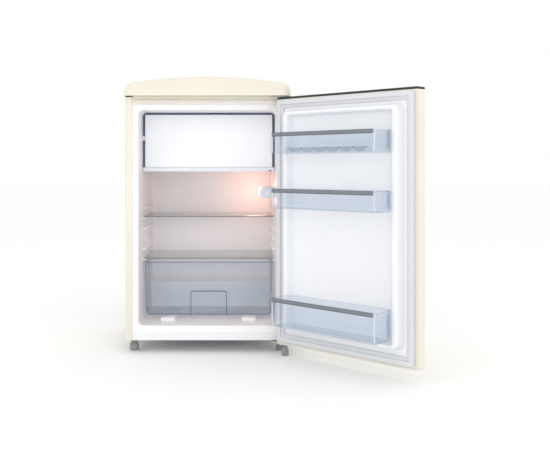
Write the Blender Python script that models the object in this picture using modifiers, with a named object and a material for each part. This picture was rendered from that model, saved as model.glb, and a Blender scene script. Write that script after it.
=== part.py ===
"""Small retro refrigerator with an ice box, its door standing open.

Sizes are in millimetres and become metres when a mesh is made. The cabinet's
front plane is y = 0, its inside runs towards +y, x is measured from its middle
line and z from the floor. Door parts are drawn with the door shut and hang
from a pivot on the hinge pins that turns the whole door open. At the end
everything is moved so that the middle of the object stands on the origin.
"""
import math

import bmesh
import bpy
from mathutils import Vector

MM = 0.001
GAP = 0.3

# Cabinet
WIDTH = 550.0
DEPTH = 480.0
CABINET_BOTTOM = 42.0
CABINET_TOP = 854.0
SHEET = 1.0
SHELL_FLANGE = 24.0
HALF = WIDTH / 2

# Inside of the cabinet
MOUTH_HALF = 230.5
FLOOR = 91.0
CEILING = 810.0
LINER = 1.8
BACK_WALL = 415.0
LINER_FLANGE_BOTTOM = 66.0
LINER_FLANGE_TOP = 829.0
INNER_RADIUS = 17.0
STEP_FRONT = 322.0
STEP_TOP = 196.0

# Machine space behind the step
NICHE_FRONT = 346.0
NICHE_TOP = 178.0

# Domed top
CAP_HALF_WIDTH = 276.5
CAP_FRONT = -64.0
CAP_TOP = 919.0
CAP_WALL = 2.5

# Ice box
FLAP_HALF = 221.0
FLAP_BOTTOM = 620.0
FLAP_TOP = 802.0
FLAP_FRONT = 118.0
FLAP_THICK = 9.0
FLAP_AXIS_X = 216.0
FLAP_AXIS_Y = 123.0
FREEZER_BOTTOM = 605.0

# Shelves and drawer
SHELF_FRONT = 122.0
SHELF_HALF = 226.0
SHELF_THICK = 4.0
UPPER_SHELF_TOP = 450.0
LOWER_SHELF_TOP = 305.0
DRAWER_HALF = 213.0
DRAWER_BOTTOM = 104.0
DRAWER_TOP = 292.0
DRAWER_FRONT = 122.0
DRAWER_BACK = 316.0
DRAWER_WALL = 2.2
RECESS_HALF = 62.0
RECESS_HEIGHT = 82.0
RECESS_DEPTH = 22.0

# Door, drawn shut
DOOR_ANGLE = 134.0
PIN_X = 257.0
PIN_Y = -35.0
DOOR_HALF = 272.0
DOOR_BACK = -12.0
DOOR_FRONT = -64.0
DOOR_BOTTOM = 41.0
DOOR_TOP = 849.0
DOOR_RADIUS = 20.0
END_CAP = 7.0
DYKE_DEPTH = 30.0
DYKE_OUTER = 226.0
DYKE_WIDTH = 24.0
DYKE_TOP_WIDTH = 20.0
DYKE_TOP = 803.0
DYKE_BOTTOM = 95.0

# Door bins: bottom height and top height
BIN_FRONT = 95.0
BIN_HALF = 204.5
BIN_CORNER = 10.0
BIN_TONGUE_HALF = 190.0
BIN_WALL = 2.0
RAIL_HEIGHT = 12.5
RAIL_THICK = 3.2
RAIL_END = 9.5
BINS = {"upper_bin": (661.0, 728.0), "middle_bin": (490.5, 552.5), "lower_bin": (121.0, 210.0)}


# ---------------------------------------------------------------- helpers

def clear_scene():
    """Remove every object that is in the file."""
    for item in list(bpy.data.objects):
        bpy.data.objects.remove(item, do_unlink=True)


def make_collection(name):
    """Make a collection under the scene."""
    group = bpy.data.collections.new(name)
    bpy.context.scene.collection.children.link(group)
    return group


clear_scene()
FRIDGE = make_collection("mini_fridge")
CUTTERS = make_collection("cutters")


def paint(name, colour, roughness, metallic=0.0, alpha=1.0):
    """A plain Principled material."""
    material = bpy.data.materials.new(name)
    material.use_nodes = True
    shader = material.node_tree.nodes["Principled BSDF"]
    shader.inputs["Base Color"].default_value = (*colour, 1.0)
    shader.inputs["Roughness"].default_value = roughness
    shader.inputs["Metallic"].default_value = metallic
    shader.inputs["Alpha"].default_value = alpha
    return material


def cream(name):
    return paint(name, (0.88, 0.84, 0.68), 0.25)


def white_plastic(name):
    return paint(name, (0.86, 0.87, 0.89), 0.4)


def clear_plastic(name):
    return paint(name, (0.78, 0.86, 0.92), 0.08, 0.0, 0.35)


def dark_plastic(name):
    return paint(name, (0.03, 0.03, 0.03), 0.5)


def grey_plastic(name):
    return paint(name, (0.30, 0.30, 0.29), 0.55)


def satin_rail(name):
    return paint(name, (0.52, 0.54, 0.56), 0.35, 1.0)


def zinc(name):
    return paint(name, (0.62, 0.63, 0.64), 0.4, 1.0)


def black_steel(name):
    return paint(name, (0.04, 0.04, 0.045), 0.45, 0.6)


def finish(name, mesh_data, material, origin=(0, 0, 0), parent=None, smooth=False, group=None):
    """Make an object of a mesh whose points are millimetres measured from the world origin."""
    mesh = bpy.data.meshes.new(name)
    bmesh.ops.remove_doubles(mesh_data, verts=mesh_data.verts, dist=0.001)
    bmesh.ops.recalc_face_normals(mesh_data, faces=mesh_data.faces)
    for vert in mesh_data.verts:
        vert.co = (vert.co - Vector(origin)) * MM
    if smooth:
        for face in mesh_data.faces:
            face.smooth = True
    mesh_data.to_mesh(mesh)
    mesh_data.free()
    item = bpy.data.objects.new(name, mesh)
    (group or FRIDGE).objects.link(item)
    if material:
        mesh.materials.append(material)
    place = Vector(origin)
    if parent is DOOR:
        place = place - Vector((PIN_X, PIN_Y, 0))
    item.location = place * MM
    item.parent = parent
    return item


def box_data(low, high):
    """Block between two corners."""
    data = bmesh.new()
    bmesh.ops.create_cube(data, size=1.0)
    for vert in data.verts:
        for axis in range(3):
            middle = (low[axis] + high[axis]) / 2
            vert.co[axis] = middle + vert.co[axis] * (high[axis] - low[axis])
    return data


def prism_data(outline, axis, start, end):
    """Flat outline of (a, b) points pushed along x, y or z from start to end."""
    data = bmesh.new()

    def point(a, b, c):
        if axis == "x":
            return (c, a, b)
        if axis == "y":
            return (a, c, b)
        return (a, b, c)

    first = [data.verts.new(point(a, b, start)) for a, b in outline]
    last = [data.verts.new(point(a, b, end)) for a, b in outline]
    count = len(outline)
    data.faces.new(first)
    data.faces.new(list(reversed(last)))
    for index in range(count):
        after = (index + 1) % count
        data.faces.new((first[index], last[index], last[after], first[after]))
    return data


def loft_data(rings):
    """Skin over rings of equal point count, closed by a flat face at both ends."""
    data = bmesh.new()
    rows = [[data.verts.new(point) for point in ring] for ring in rings]
    count = len(rows[0])
    for low, high in zip(rows, rows[1:]):
        for index in range(count):
            after = (index + 1) % count
            data.faces.new((low[index], low[after], high[after], high[index]))
    data.faces.new(list(reversed(rows[0])))
    data.faces.new(rows[-1])
    return data


def round_outline(low, high, radius, steps=5):
    """Rectangle with round corners as a list of (a, b) points, anticlockwise."""
    centres = ((high[0] - radius, high[1] - radius, 0), (low[0] + radius, high[1] - radius, 90),
               (low[0] + radius, low[1] + radius, 180), (high[0] - radius, low[1] + radius, 270))
    points = []
    for a, b, start in centres:
        for step in range(steps + 1):
            turn = math.radians(start + 90 * step / steps)
            points.append((a + radius * math.cos(turn), b + radius * math.sin(turn)))
    return points


def box(name, low, high, material, bevel=0.0, segments=2, **more):
    """Block with optional rounded edges."""
    item = finish(name, box_data(low, high), material, **more)
    if bevel:
        soften(item, bevel, segments)
    return item


def prism(name, outline, axis, start, end, material, **more):
    """Pushed outline as an object."""
    return finish(name, prism_data(outline, axis, start, end), material, **more)


def soften(item, width, segments=2):
    """Rounded edges on every edge sharper than 35 degrees."""
    change = item.modifiers.new("Bevel", "BEVEL")
    change.width = width * MM
    change.segments = segments
    change.limit_method = "ANGLE"
    change.angle_limit = math.radians(35)
    return change


def combine(item, other, operation):
    """Boolean against a hidden cutter."""
    other.hide_render = True
    other.display_type = "WIRE"
    change = item.modifiers.new(operation.title(), "BOOLEAN")
    change.operation = operation
    change.solver = "EXACT"
    change.object = other


def cutter(name, data, parent=None):
    """Object of the cutter collection."""
    return finish(name, data, None, parent=parent, group=CUTTERS)


def cut(item, name, data, parent=None):
    combine(item, cutter(name, data, parent), "DIFFERENCE")


def add(item, name, data, parent=None):
    combine(item, cutter(name, data, parent), "UNION")


def turned(name, profile, centre, material, axis="z", steps=32, **more):
    """Solid of revolution: profile is (radius, height) points from one end to the other."""
    rings = []
    for radius, height in profile:
        ring = []
        for step in range(steps):
            turn = math.tau * step / steps
            a = radius * math.cos(turn)
            b = radius * math.sin(turn)
            if axis == "z":
                ring.append((centre[0] + a, centre[1] + b, centre[2] + height))
            elif axis == "x":
                ring.append((centre[0] + height, centre[1] + a, centre[2] + b))
            else:
                ring.append((centre[0] + b, centre[1] + height, centre[2] + a))
        rings.append(ring)
    more.setdefault("smooth", False)
    return finish(name, loft_data(rings), material, **more)


def wire(name, points, radius, material, **more):
    """Round wire along a run of points."""
    curve = bpy.data.curves.new(name, "CURVE")
    curve.dimensions = "3D"
    curve.bevel_depth = radius
    curve.bevel_resolution = 2
    curve.use_fill_caps = True
    spline = curve.splines.new("POLY")
    spline.points.add(len(points) - 1)
    for spot, point in zip(spline.points, points):
        spot.co = (*point, 1.0)
    shape = bpy.data.objects.new(name + "_run", curve)
    CUTTERS.objects.link(shape)
    ready = shape.evaluated_get(bpy.context.evaluated_depsgraph_get())
    mesh = bpy.data.meshes.new_from_object(ready)
    bpy.data.objects.remove(shape, do_unlink=True)
    data = bmesh.new()
    data.from_mesh(mesh)
    return finish(name, data, material, **more)


def make_door_pivot():
    """Empty on the line of the hinge pins; it carries the door."""
    pivot = bpy.data.objects.new("door_pivot", None)
    FRIDGE.objects.link(pivot)
    pivot.location = (PIN_X * MM, PIN_Y * MM, 0)
    pivot.rotation_euler = (0, 0, math.radians(DOOR_ANGLE))
    return pivot


DOOR = make_door_pivot()


# ---------------------------------------------------------------- cabinet shell

def make_side(name, side):
    """Painted sheet with its front edge folded in round the opening."""
    outer = side * HALF
    inner = side * (HALF - SHELL_FLANGE)
    skin = side * (HALF - SHEET)
    outline = [(outer, DEPTH), (outer, 0), (inner, 0), (inner, 12), (inner + side * SHEET, 12),
               (inner + side * SHEET, SHEET), (skin, SHEET), (skin, DEPTH)]
    prism(name, outline, "z", CABINET_BOTTOM, CABINET_TOP, cream(name))


def make_cabinet_panels():
    """Back, top, bottom, step and front bars."""
    edge = HALF - SHEET - GAP
    box("back_panel", (-edge, DEPTH - 1, NICHE_TOP + 3), (edge, DEPTH, CABINET_TOP), zinc("back_panel"))
    box("top_panel", (-edge, 12.5, CABINET_TOP - 1), (edge, DEPTH - 1 - GAP, CABINET_TOP), zinc("top_panel"))
    low = CABINET_BOTTOM
    outline = [(14, low), (NICHE_FRONT, low), (NICHE_FRONT, NICHE_TOP), (DEPTH, NICHE_TOP),
               (DEPTH, NICHE_TOP + 2.5), (NICHE_FRONT - 1, NICHE_TOP + 2.5), (NICHE_FRONT - 1, low + 1),
               (14, low + 1)]
    prism("base_panel", outline, "x", -edge, edge, zinc("base_panel"))
    bar = HALF - SHELL_FLANGE - GAP
    box("upper_front_bar", (-bar, 0, LINER_FLANGE_TOP + GAP), (bar, 3, CABINET_TOP - 9),
        cream("upper_front_bar"), 0.8)
    box("cap_underframe", (-bar, 5, CABINET_TOP - 8.7), (bar, 9, CABINET_TOP - 1 - GAP), cream("cap_underframe"))
    box("lower_front_strip", (-bar, 0, low), (bar, 12, LINER_FLANGE_BOTTOM - GAP),
        white_plastic("lower_front_strip"), 0.8)


def make_foam():
    """Poured insulation between the shell and the liner."""
    edge = HALF - SHEET - GAP - 0.2
    item = box("insulation", (-edge, 14, CABINET_BOTTOM + 1.5), (edge, DEPTH - 1.5, CABINET_TOP - 1.6),
               paint("insulation", (0.85, 0.8, 0.6), 0.9))
    cut(item, "foam_room", liner_form(LINER + 0.6, -5.0))
    cut(item, "foam_niche", box_data((-HALF, NICHE_FRONT - 1.5, 0), (HALF, DEPTH + 5, NICHE_TOP + 3)))
    cut(item, "foam_drain", box_data((-8, BACK_WALL, 150), (8, 460, 330)))


def liner_form(extra, front, rounded=True):
    """Block of the inside space, grown by extra on every wall."""
    outline = [(front, FLOOR - extra), (STEP_FRONT + extra, FLOOR - extra), (STEP_FRONT + extra, STEP_TOP - extra),
               (BACK_WALL + extra, STEP_TOP - extra), (BACK_WALL + extra, CEILING + extra),
               (front, CEILING + extra)]
    half = MOUTH_HALF + extra
    data = prism_data(outline, "x", -half, half)
    if rounded:
        long_edges = [edge for edge in data.edges if is_lengthwise(edge)]
        bmesh.ops.bevel(data, geom=long_edges, offset=INNER_RADIUS + extra, segments=4, profile=0.5,
                        affect="EDGES")
    return data


def is_lengthwise(edge):
    """True for the four corner edges that run from front to back."""
    run = edge.verts[1].co - edge.verts[0].co
    return abs(run.y) > 200 and abs(run.x) < 0.01 and abs(run.z) < 0.01


def make_liner():
    """Formed white tub: flange round the mouth, walls, step over the machine space and shelf ribs."""
    flange = HALF - SHELL_FLANGE - GAP
    item = finish("inner_liner", liner_form(LINER, 0.0), white_plastic("inner_liner"))
    add(item, "liner_flange",
        box_data((-flange, 0, LINER_FLANGE_BOTTOM), (flange, 1.5, LINER_FLANGE_TOP)))
    cut(item, "liner_room", liner_form(0.0, -5.0))
    for side in (-1, 1):
        wall = side * (MOUTH_HALF + 0.8)
        tip = side * (MOUTH_HALF - 9)
        for number, top in enumerate(rib_levels()):
            low = (min(wall, tip), SHELF_FRONT + 6, top - 7)
            high = (max(wall, tip), BACK_WALL - 15, top)
            add(item, f"liner_rib_{number}_{side}", box_data(low, high))
    for side in (-1, 1):
        middle = side * 139.0
        add(item, f"liner_pad_{side}", box_data((middle - 25, 78, FLOOR - 0.8), (middle + 25, STEP_FRONT - 8, FLOOR + 12)))
    cut(item, "liner_drain", cylinder_data((0, BACK_WALL - 20, 300), 5, 60, "y"))


def rib_levels():
    """Tops of the shelf ribs: one under each shelf and spare ones between them."""
    under_upper = UPPER_SHELF_TOP - SHELF_THICK - GAP
    under_lower = LOWER_SHELF_TOP - SHELF_THICK - GAP
    spacing = (under_upper - under_lower) / 4
    return [under_lower + spacing * step for step in range(6)]


def cylinder_data(start, radius, length, axis, steps=24):
    """Plain cylinder from a start point along an axis."""
    outline = []
    for step in range(steps):
        turn = math.tau * step / steps
        outline.append((radius * math.cos(turn), radius * math.sin(turn)))
    x, y, z = start
    if axis == "z":
        return prism_data([(x + a, y + b) for a, b in outline], "z", z, z + length)
    if axis == "y":
        return prism_data([(x + a, z + b) for a, b in outline], "y", y, y + length)
    return prism_data([(y + a, z + b) for a, b in outline], "x", x, x + length)


# ---------------------------------------------------------------- domed top

def cap_rings(inset):
    """Rings of the dome from the rim to the crown, drawn in by inset."""
    profile = [(0, 854.4), (0, 872), (1.0, 880), (4, 888), (9, 894.5), (16, 899.5), (26, 903), (42, 906)]
    rings = []
    for drawn_in, height in profile:
        rings.append(cap_ring(inset + drawn_in, height - (inset if height > 860 else 0)))
    for share in (0.8, 0.6, 0.4, 0.2, 0.03):
        rings.append(cap_ring(42 + inset, 906 - inset + (CAP_TOP - 906) * (1 - share ** 2), share))
    return rings


def cap_ring(inset, height, share=1.0):
    """One rounded rectangle of the dome, shrunk about its middle by share."""
    half = CAP_HALF_WIDTH - inset
    front = CAP_FRONT + inset
    back = DEPTH - inset
    middle = (front + back) / 2
    deep = (back - front) / 2
    outline = round_outline((-half, -deep), (half, deep), max(30 - inset * 0.5, 6), 4)
    return [(a * share, middle + b * share, height) for a, b in outline]


def make_top_cap():
    """Moulded dome: thin shell open underneath."""
    item = finish("top_cap", loft_data(cap_rings(0.0)), cream("top_cap"), smooth=False)
    inner = cap_rings(CAP_WALL)
    inner[0] = [(x, y, 850.0) for x, y, _ in inner[0]]
    cut(item, "cap_hollow", loft_data(inner))


# ---------------------------------------------------------------- hinges and feet

def make_hinges():
    """Brackets on the right side with the two pins the door turns on, and the door's bushes."""
    plate = [(HALF - 62, 33), (HALF - 62, -10), (PIN_X - 16, PIN_Y - 12), (PIN_X + 10, PIN_Y - 12),
             (PIN_X + 12, PIN_Y), (HALF - 8, 0), (HALF - 8, 33)]
    upper = prism("upper_hinge", plate, "z", CABINET_TOP + GAP, CABINET_TOP + 3.3, zinc("upper_hinge"))
    cut(upper, "upper_hinge_hole", cylinder_data((PIN_X, PIN_Y, 840), 4.3, 30, "z"))
    lower = prism("lower_hinge", plate, "z", CABINET_BOTTOM - 5.3, CABINET_BOTTOM - 2.3, zinc("lower_hinge"))
    cut(lower, "lower_hinge_hole", cylinder_data((PIN_X, PIN_Y, 20), 4.3, 30, "z"))
    turned("upper_pin", [(0.5, 828), (3.6, 828), (4, 829), (4, 858), (8, 858), (8, 861), (0.5, 861)],
           (PIN_X, PIN_Y, 0), zinc("upper_pin"), steps=20)
    turned("lower_pin", [(0.5, 32), (4, 32), (4, 61), (3.6, 62), (0.5, 62)], (PIN_X, PIN_Y, 0),
           zinc("lower_pin"), steps=20)


def make_foot(name, x, y, radius, top):
    """Moulded levelling foot with a neck, screwed into the base."""
    profile = [(0.5, 0), (radius - 2, 0), (radius, 2), (radius - 0.5, top - 14), (radius - 2, top - 12),
               (radius - 4, top - 11), (radius - 4, top), (0.5, top)]
    turned(name, profile, (x, y, 0), grey_plastic(name), origin=(x, y, 0))


def make_feet():
    """Two front feet, two rear feet and the foot under the hinge pin."""
    make_foot("foot_front_left", -250, 50, 15.5, CABINET_BOTTOM - GAP)
    make_foot("foot_front_right", 247, 52, 15.5, CABINET_BOTTOM - GAP)
    make_foot("foot_rear_left", -250, 440, 15.5, CABINET_BOTTOM - GAP)
    make_foot("foot_rear_right", 250, 440, 15.5, CABINET_BOTTOM - GAP)
    make_foot("hinge_foot", PIN_X, PIN_Y, 12, 31.5)


# ---------------------------------------------------------------- machine space

def make_machine_space():
    """Compressor on its cross plate, its box, the evaporation tray and the coil on the back."""
    box("compressor_plate", (-HALF + 2, 352, CABINET_BOTTOM), (HALF - 2, 474, CABINET_BOTTOM + 2),
        zinc("compressor_plate"))
    shell = [(0.5, 44.3), (34, 44.3), (50, 52), (57, 62), (60, 76), (60, 98), (63, 98), (63, 101), (60, 101),
             (60, 118), (55, 130), (42, 139), (20, 143), (0.5, 143)]
    turned("compressor", shell, (120, 412, 0), black_steel("compressor"), steps=40)
    box("terminal_box", (20, 385, 72), (55.5, 437, 124), dark_plastic("terminal_box"), 3)
    tray = box("evaporation_tray", (40, 356, 150), (200, 466, 172), dark_plastic("evaporation_tray"), 3)
    cut(tray, "tray_hollow", box_data((43, 359, 153), (197, 463, 180)))
    inlet = box("power_inlet", (-220, 462, 60), (-170, 478, 92), dark_plastic("power_inlet"), 2)
    cut(inlet, "inlet_socket", box_data((-212, 468, 67), (-178, 490, 85)))
    make_condenser()


def make_condenser():
    """Serpentine tube standing off the back panel on two brackets."""
    depth = DEPTH + 16
    points = []
    rows = 12
    bottom = 230.0
    top = 800.0
    half = 205.0
    step = (top - bottom) / (rows - 1)
    for row in range(rows):
        height = bottom + row * step
        side = 1 if row % 2 == 0 else -1
        points.append((-side * half, depth, height))
        points.append((side * half, depth, height))
        if row < rows - 1:
            for share in (0.25, 0.5, 0.75):
                turn = math.pi * share
                points.append((side * (half + step / 2 * math.sin(turn)), depth,
                               height + step / 2 * (1 - math.cos(turn))))
    wire("condenser_coil", points, 2.4, black_steel("condenser_coil"))
    for name, x in (("condenser_bracket_left", -170.0), ("condenser_bracket_right", 170.0)):
        box(name, (x - 6, DEPTH + GAP, 215), (x + 6, depth - 2.4 - GAP, 815), black_steel(name))
    for name, x in (("rear_spacer_left", -240.0), ("rear_spacer_right", 240.0)):
        box(name, (x - 9, DEPTH + GAP, 780), (x + 9, DEPTH + 32, 812), dark_plastic(name), 3)


# ---------------------------------------------------------------- ice box

def make_freezer():
    """Aluminium sleeve in a white front frame, with a flap hung on the right."""
    frame_half = MOUTH_HALF - GAP - 0.5
    sleeve_front = 142.0
    sleeve = box("freezer_sleeve", (-206, sleeve_front, 622), (206, BACK_WALL - 6, 799),
                 paint("freezer_sleeve", (0.75, 0.76, 0.78), 0.35, 1.0), 5)
    cut(sleeve, "sleeve_room", box_data((-203.5, sleeve_front - 5, 624.5), (203.5, BACK_WALL - 8.5, 796.5)))
    frame_top = CEILING - 0.8
    outline = [(-frame_half, FREEZER_BOTTOM), (frame_half, FREEZER_BOTTOM)]
    outline += [point for point in round_outline((-frame_half, FREEZER_BOTTOM), (frame_half, frame_top), 22, 5)
                if point[1] > frame_top - 23]
    frame = prism("freezer_frame", outline, "y", 130, sleeve_front - GAP, white_plastic("freezer_frame"))
    cut(frame, "frame_room", box_data((-202, 120, 626), (202, 150, 795)))
    for number, z in enumerate((FREEZER_BOTTOM + 0.2, CEILING - 6.5)):
        add(frame, f"frame_lug_{number}", box_data((FLAP_AXIS_X - 8, 117, z), (FLAP_AXIS_X + 3, 131, z + 4)))
    cut(frame, "frame_pin", cylinder_data((FLAP_AXIS_X, FLAP_AXIS_Y, 590), 2.6, 240, "z"))
    box("freezer_lip", (-222, 119, FREEZER_BOTTOM + 1), (204, 129.7, FREEZER_BOTTOM + 13),
        paint("freezer_lip", (0.55, 0.56, 0.58), 0.4), 1.0)
    flap = box("freezer_flap", (-FLAP_HALF, FLAP_FRONT, FLAP_BOTTOM), (FLAP_HALF, FLAP_FRONT + FLAP_THICK, FLAP_TOP),
               white_plastic("freezer_flap"), 1.5, origin=(FLAP_AXIS_X, FLAP_AXIS_Y, FLAP_BOTTOM))
    add(flap, "flap_pin", cylinder_data((FLAP_AXIS_X, FLAP_AXIS_Y, FREEZER_BOTTOM + 0.5), 2.2, 202.5, "z", 16))
    box("freezer_catch", (-228.5, 116, 712), (-223, 129.5, 728), white_plastic("freezer_catch"), 1.0)


# ---------------------------------------------------------------- lamp, thermostat and switch

def make_controls():
    """Lamp and thermostat housing on the right wall with its knob, bulb and door switch."""
    wall = MOUTH_HALF - GAP
    housing = box("thermostat_housing", (wall - 53, 190, 509), (wall, 330, 549),
                  paint("thermostat_housing", (0.8, 0.86, 0.92), 0.25), 6, 3)
    cut(housing, "housing_room", box_data((wall - 50, 250, 512), (wall - 3, 327, 546)))
    cut(housing, "housing_open", box_data((wall - 50, 260, 504), (wall - 3, 322, 514)))
    turned("thermostat_knob", [(0.5, 0), (13, 0), (14, 1), (13, 11), (12, 12), (0.5, 12)], (wall - 26, 177.5, 529),
           paint("thermostat_knob", (0.85, 0.87, 0.9), 0.4), axis="y", steps=28, origin=(wall - 26, 177.5, 529))
    bulb = [(0.5, 0), (4, 1), (7.5, 6), (8.5, 12), (7.5, 20), (5.5, 26), (5.5, 36), (0.5, 36)]
    turned("lamp_bulb", bulb, (wall - 26, 265, 529), paint("lamp_bulb", (0.95, 0.9, 0.75), 0.1), axis="y", steps=24)
    turned("light_switch", [(0.5, 0), (7, 0), (9, 0.8), (9, 2), (0.5, 2)], (wall - 2, 24, 525),
           white_plastic("light_switch"), axis="x", steps=20)


# ---------------------------------------------------------------- shelves and drawer

def make_shelf(name, top):
    """Plate of glass with rounded front corners."""
    outline = [(-SHELF_HALF, BACK_WALL - 8), (-SHELF_HALF, SHELF_FRONT + 6), (-SHELF_HALF + 2, SHELF_FRONT + 2),
               (-SHELF_HALF + 6, SHELF_FRONT), (SHELF_HALF - 6, SHELF_FRONT), (SHELF_HALF - 2, SHELF_FRONT + 2),
               (SHELF_HALF, SHELF_FRONT + 6), (SHELF_HALF, BACK_WALL - 8)]
    prism(name, outline, "z", top - SHELF_THICK, top, paint(name, (0.75, 0.86, 0.84), 0.03, 0.0, 0.35),
          origin=(0, SHELF_FRONT, top))


def drawer_ring(inset, height, flare):
    """Rounded rectangle of the drawer: wider and deeper by flare."""
    low = (-DRAWER_HALF + inset - flare, DRAWER_FRONT + inset - flare * 0.3)
    high = (DRAWER_HALF - inset + flare, DRAWER_BACK - inset)
    return [(a, b, height) for a, b in round_outline(low, high, 12 - inset * 0.5, 4)]


def make_drawer():
    """Clear crisper drawer with a finger recess in the foot of its front."""
    heights = [(8, DRAWER_BOTTOM, 0), (2.5, DRAWER_BOTTOM + 2.5, 0), (0, DRAWER_BOTTOM + 9, 0), (0, DRAWER_TOP, 9)]
    item = finish("crisper_drawer", loft_data([drawer_ring(inset, z, flare) for inset, z, flare in heights]),
                  clear_plastic("crisper_drawer"), origin=(0, DRAWER_FRONT, DRAWER_BOTTOM))
    wall = DRAWER_WALL
    room = [(8 + wall, DRAWER_BOTTOM + wall, 0), (2.5 + wall, DRAWER_BOTTOM + 4.6, 0),
            (wall, DRAWER_BOTTOM + 10.5, 0), (wall, DRAWER_TOP + 5, 9.3)]
    hollow = cutter("drawer_room", loft_data([drawer_ring(inset, z, flare) for inset, z, flare in room]))
    recess_wall = box_data((-RECESS_HALF - wall, DRAWER_FRONT - 8, DRAWER_BOTTOM - 5),
                           (RECESS_HALF + wall, DRAWER_FRONT + RECESS_DEPTH + wall, DRAWER_BOTTOM + RECESS_HEIGHT + wall))
    combine(hollow, cutter("drawer_recess_wall", recess_wall), "DIFFERENCE")
    combine(item, hollow, "DIFFERENCE")
    cut(item, "drawer_recess", box_data((-RECESS_HALF, DRAWER_FRONT - 8, DRAWER_BOTTOM - 5),
                                        (RECESS_HALF, DRAWER_FRONT + RECESS_DEPTH, DRAWER_BOTTOM + RECESS_HEIGHT)))


# ---------------------------------------------------------------- door

def door_outline(inset, back):
    """Plan of the door shut: round front corners, square back."""
    half = DOOR_HALF - inset
    front = DOOR_FRONT + inset
    radius = DOOR_RADIUS - inset
    points = [(half, back)]
    for start, x in ((0, half - radius), (-90, -half + radius)):
        for step in range(7):
            turn = math.radians(start - 90 * step / 6)
            points.append((x + radius * math.cos(turn), front + radius + radius * math.sin(turn)))
    points.append((-half, back))
    return points


def make_door_shell():
    """Cream steel pan, plastic end caps, foam."""
    low = DOOR_BOTTOM + END_CAP + GAP
    high = DOOR_TOP - END_CAP - GAP
    skin = prism("door_skin", door_outline(0.0, DOOR_BACK), "z", low, high, cream("door_skin"), parent=DOOR)
    cut(skin, "skin_room", prism_data(door_outline(0.9, DOOR_BACK + 5), "z", low - 5, high + 5), DOOR)
    for name, start, end, pin in (("door_bottom_cap", DOOR_BOTTOM, DOOR_BOTTOM + END_CAP, 20),
                                  ("door_top_cap", DOOR_TOP - END_CAP, DOOR_TOP, DOOR_TOP - 20)):
        cap = prism(name, door_outline(0.3, DOOR_BACK - 0.3), "z", start, end, dark_plastic(name), parent=DOOR)
        cut(cap, name + "_hole", cylinder_data((PIN_X, PIN_Y, pin), 7.3, 60, "z"), DOOR)
    foam = prism("door_insulation", door_outline(1.4, DOOR_BACK - 2.2), "z", low + 0.1, high - 0.1,
                 paint("door_insulation", (0.85, 0.8, 0.6), 0.9), parent=DOOR)
    cut(foam, "door_foam_low", cylinder_data((PIN_X, PIN_Y, low - 5), 7.3, 35, "z"), DOOR)
    cut(foam, "door_foam_high", cylinder_data((PIN_X, PIN_Y, high - 30), 7.3, 40, "z"), DOOR)
    for name, start in (("door_bush_lower", DOOR_BOTTOM + 1), ("door_bush_upper", DOOR_TOP - 23)):
        bush = turned(name, [(0.5, 0), (7, 0), (7, 22), (0.5, 22)], (PIN_X, PIN_Y, start), white_plastic(name),
                      steps=24, parent=DOOR, origin=(PIN_X, PIN_Y, start))
        cut(bush, name + "_bore", cylinder_data((PIN_X, PIN_Y, start - 5), 4.4, 40, "z"), DOOR)


def dyke_ring(outer, top, bottom, depth, radius=26):
    """Rounded rectangle on the door's inside at a given depth."""
    return [(a, DOOR_BACK + depth, b) for a, b in round_outline((-outer, bottom), (outer, top), radius, 5)]


def make_door_liner():
    """White formed liner: flat margin, and a raised wall all round that reaches into the cabinet."""
    margin = 265.0
    low = DOOR_BOTTOM + END_CAP + 2
    high = DOOR_TOP - END_CAP - 2
    edge = DYKE_OUTER
    item = finish("door_liner", box_data((-margin, DOOR_BACK - 1.8, low), (margin, DOOR_BACK - 0.2, high)),
                  white_plastic("door_liner"), parent=DOOR)
    rings = [dyke_ring(edge, DYKE_TOP, DYKE_BOTTOM, -1.0), dyke_ring(edge - 1, DYKE_TOP - 1, DYKE_BOTTOM + 1, 6),
             dyke_ring(edge - 7, DYKE_TOP - 7, DYKE_BOTTOM + 7, DYKE_DEPTH - 5),
             dyke_ring(edge - 12, DYKE_TOP - 12, DYKE_BOTTOM + 12, DYKE_DEPTH)]
    add(item, "dyke_body", loft_data(rings), DOOR)
    inner = edge - DYKE_WIDTH
    top = DYKE_TOP - DYKE_TOP_WIDTH
    bottom = DYKE_BOTTOM + 14
    room = [dyke_ring(inner - 4, top - 4, bottom + 4, 1.5, 12), dyke_ring(inner, top, bottom, DYKE_DEPTH + 5, 12)]
    cut(item, "dyke_room", loft_data(room), DOOR)
    hollow = [dyke_ring(edge - 3, DYKE_TOP - 3, DYKE_BOTTOM + 3, -9),
              dyke_ring(edge - 3, DYKE_TOP - 3, DYKE_BOTTOM + 3, 6),
              dyke_ring(edge - 9, DYKE_TOP - 9, DYKE_BOTTOM + 9, DYKE_DEPTH - 6),
              dyke_ring(edge - 13, DYKE_TOP - 13, DYKE_BOTTOM + 13, DYKE_DEPTH - 2)]
    under = cutter("dyke_hollow", loft_data(hollow), DOOR)
    keep = [dyke_ring(inner - 2, top - 2, bottom + 2, -12, 14),
            dyke_ring(inner + 2.2, top + 2.2, bottom - 2.2, DYKE_DEPTH + 7, 14)]
    combine(under, cutter("dyke_keep", loft_data(keep), DOOR), "DIFFERENCE")
    combine(item, under, "DIFFERENCE")


def make_gasket():
    """Magnetic seal: soft frame on the door's margin."""
    outer = [(a, b) for a, b in round_outline((-264, DOOR_BOTTOM + 10), (264, DOOR_TOP - 10), 8, 3)]
    item = prism("door_gasket", outer, "y", DOOR_BACK + 0.1, -0.4,
                 paint("door_gasket", (0.82, 0.83, 0.84), 0.7), parent=DOOR)
    inner = [(a, b) for a, b in round_outline((-236, DOOR_BOTTOM + 38), (236, DOOR_TOP - 34), 6, 3)]
    cut(item, "gasket_room", prism_data(inner, "y", DOOR_BACK - 5, 5), DOOR)
    soften(item, 1.5, 2)


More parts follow.
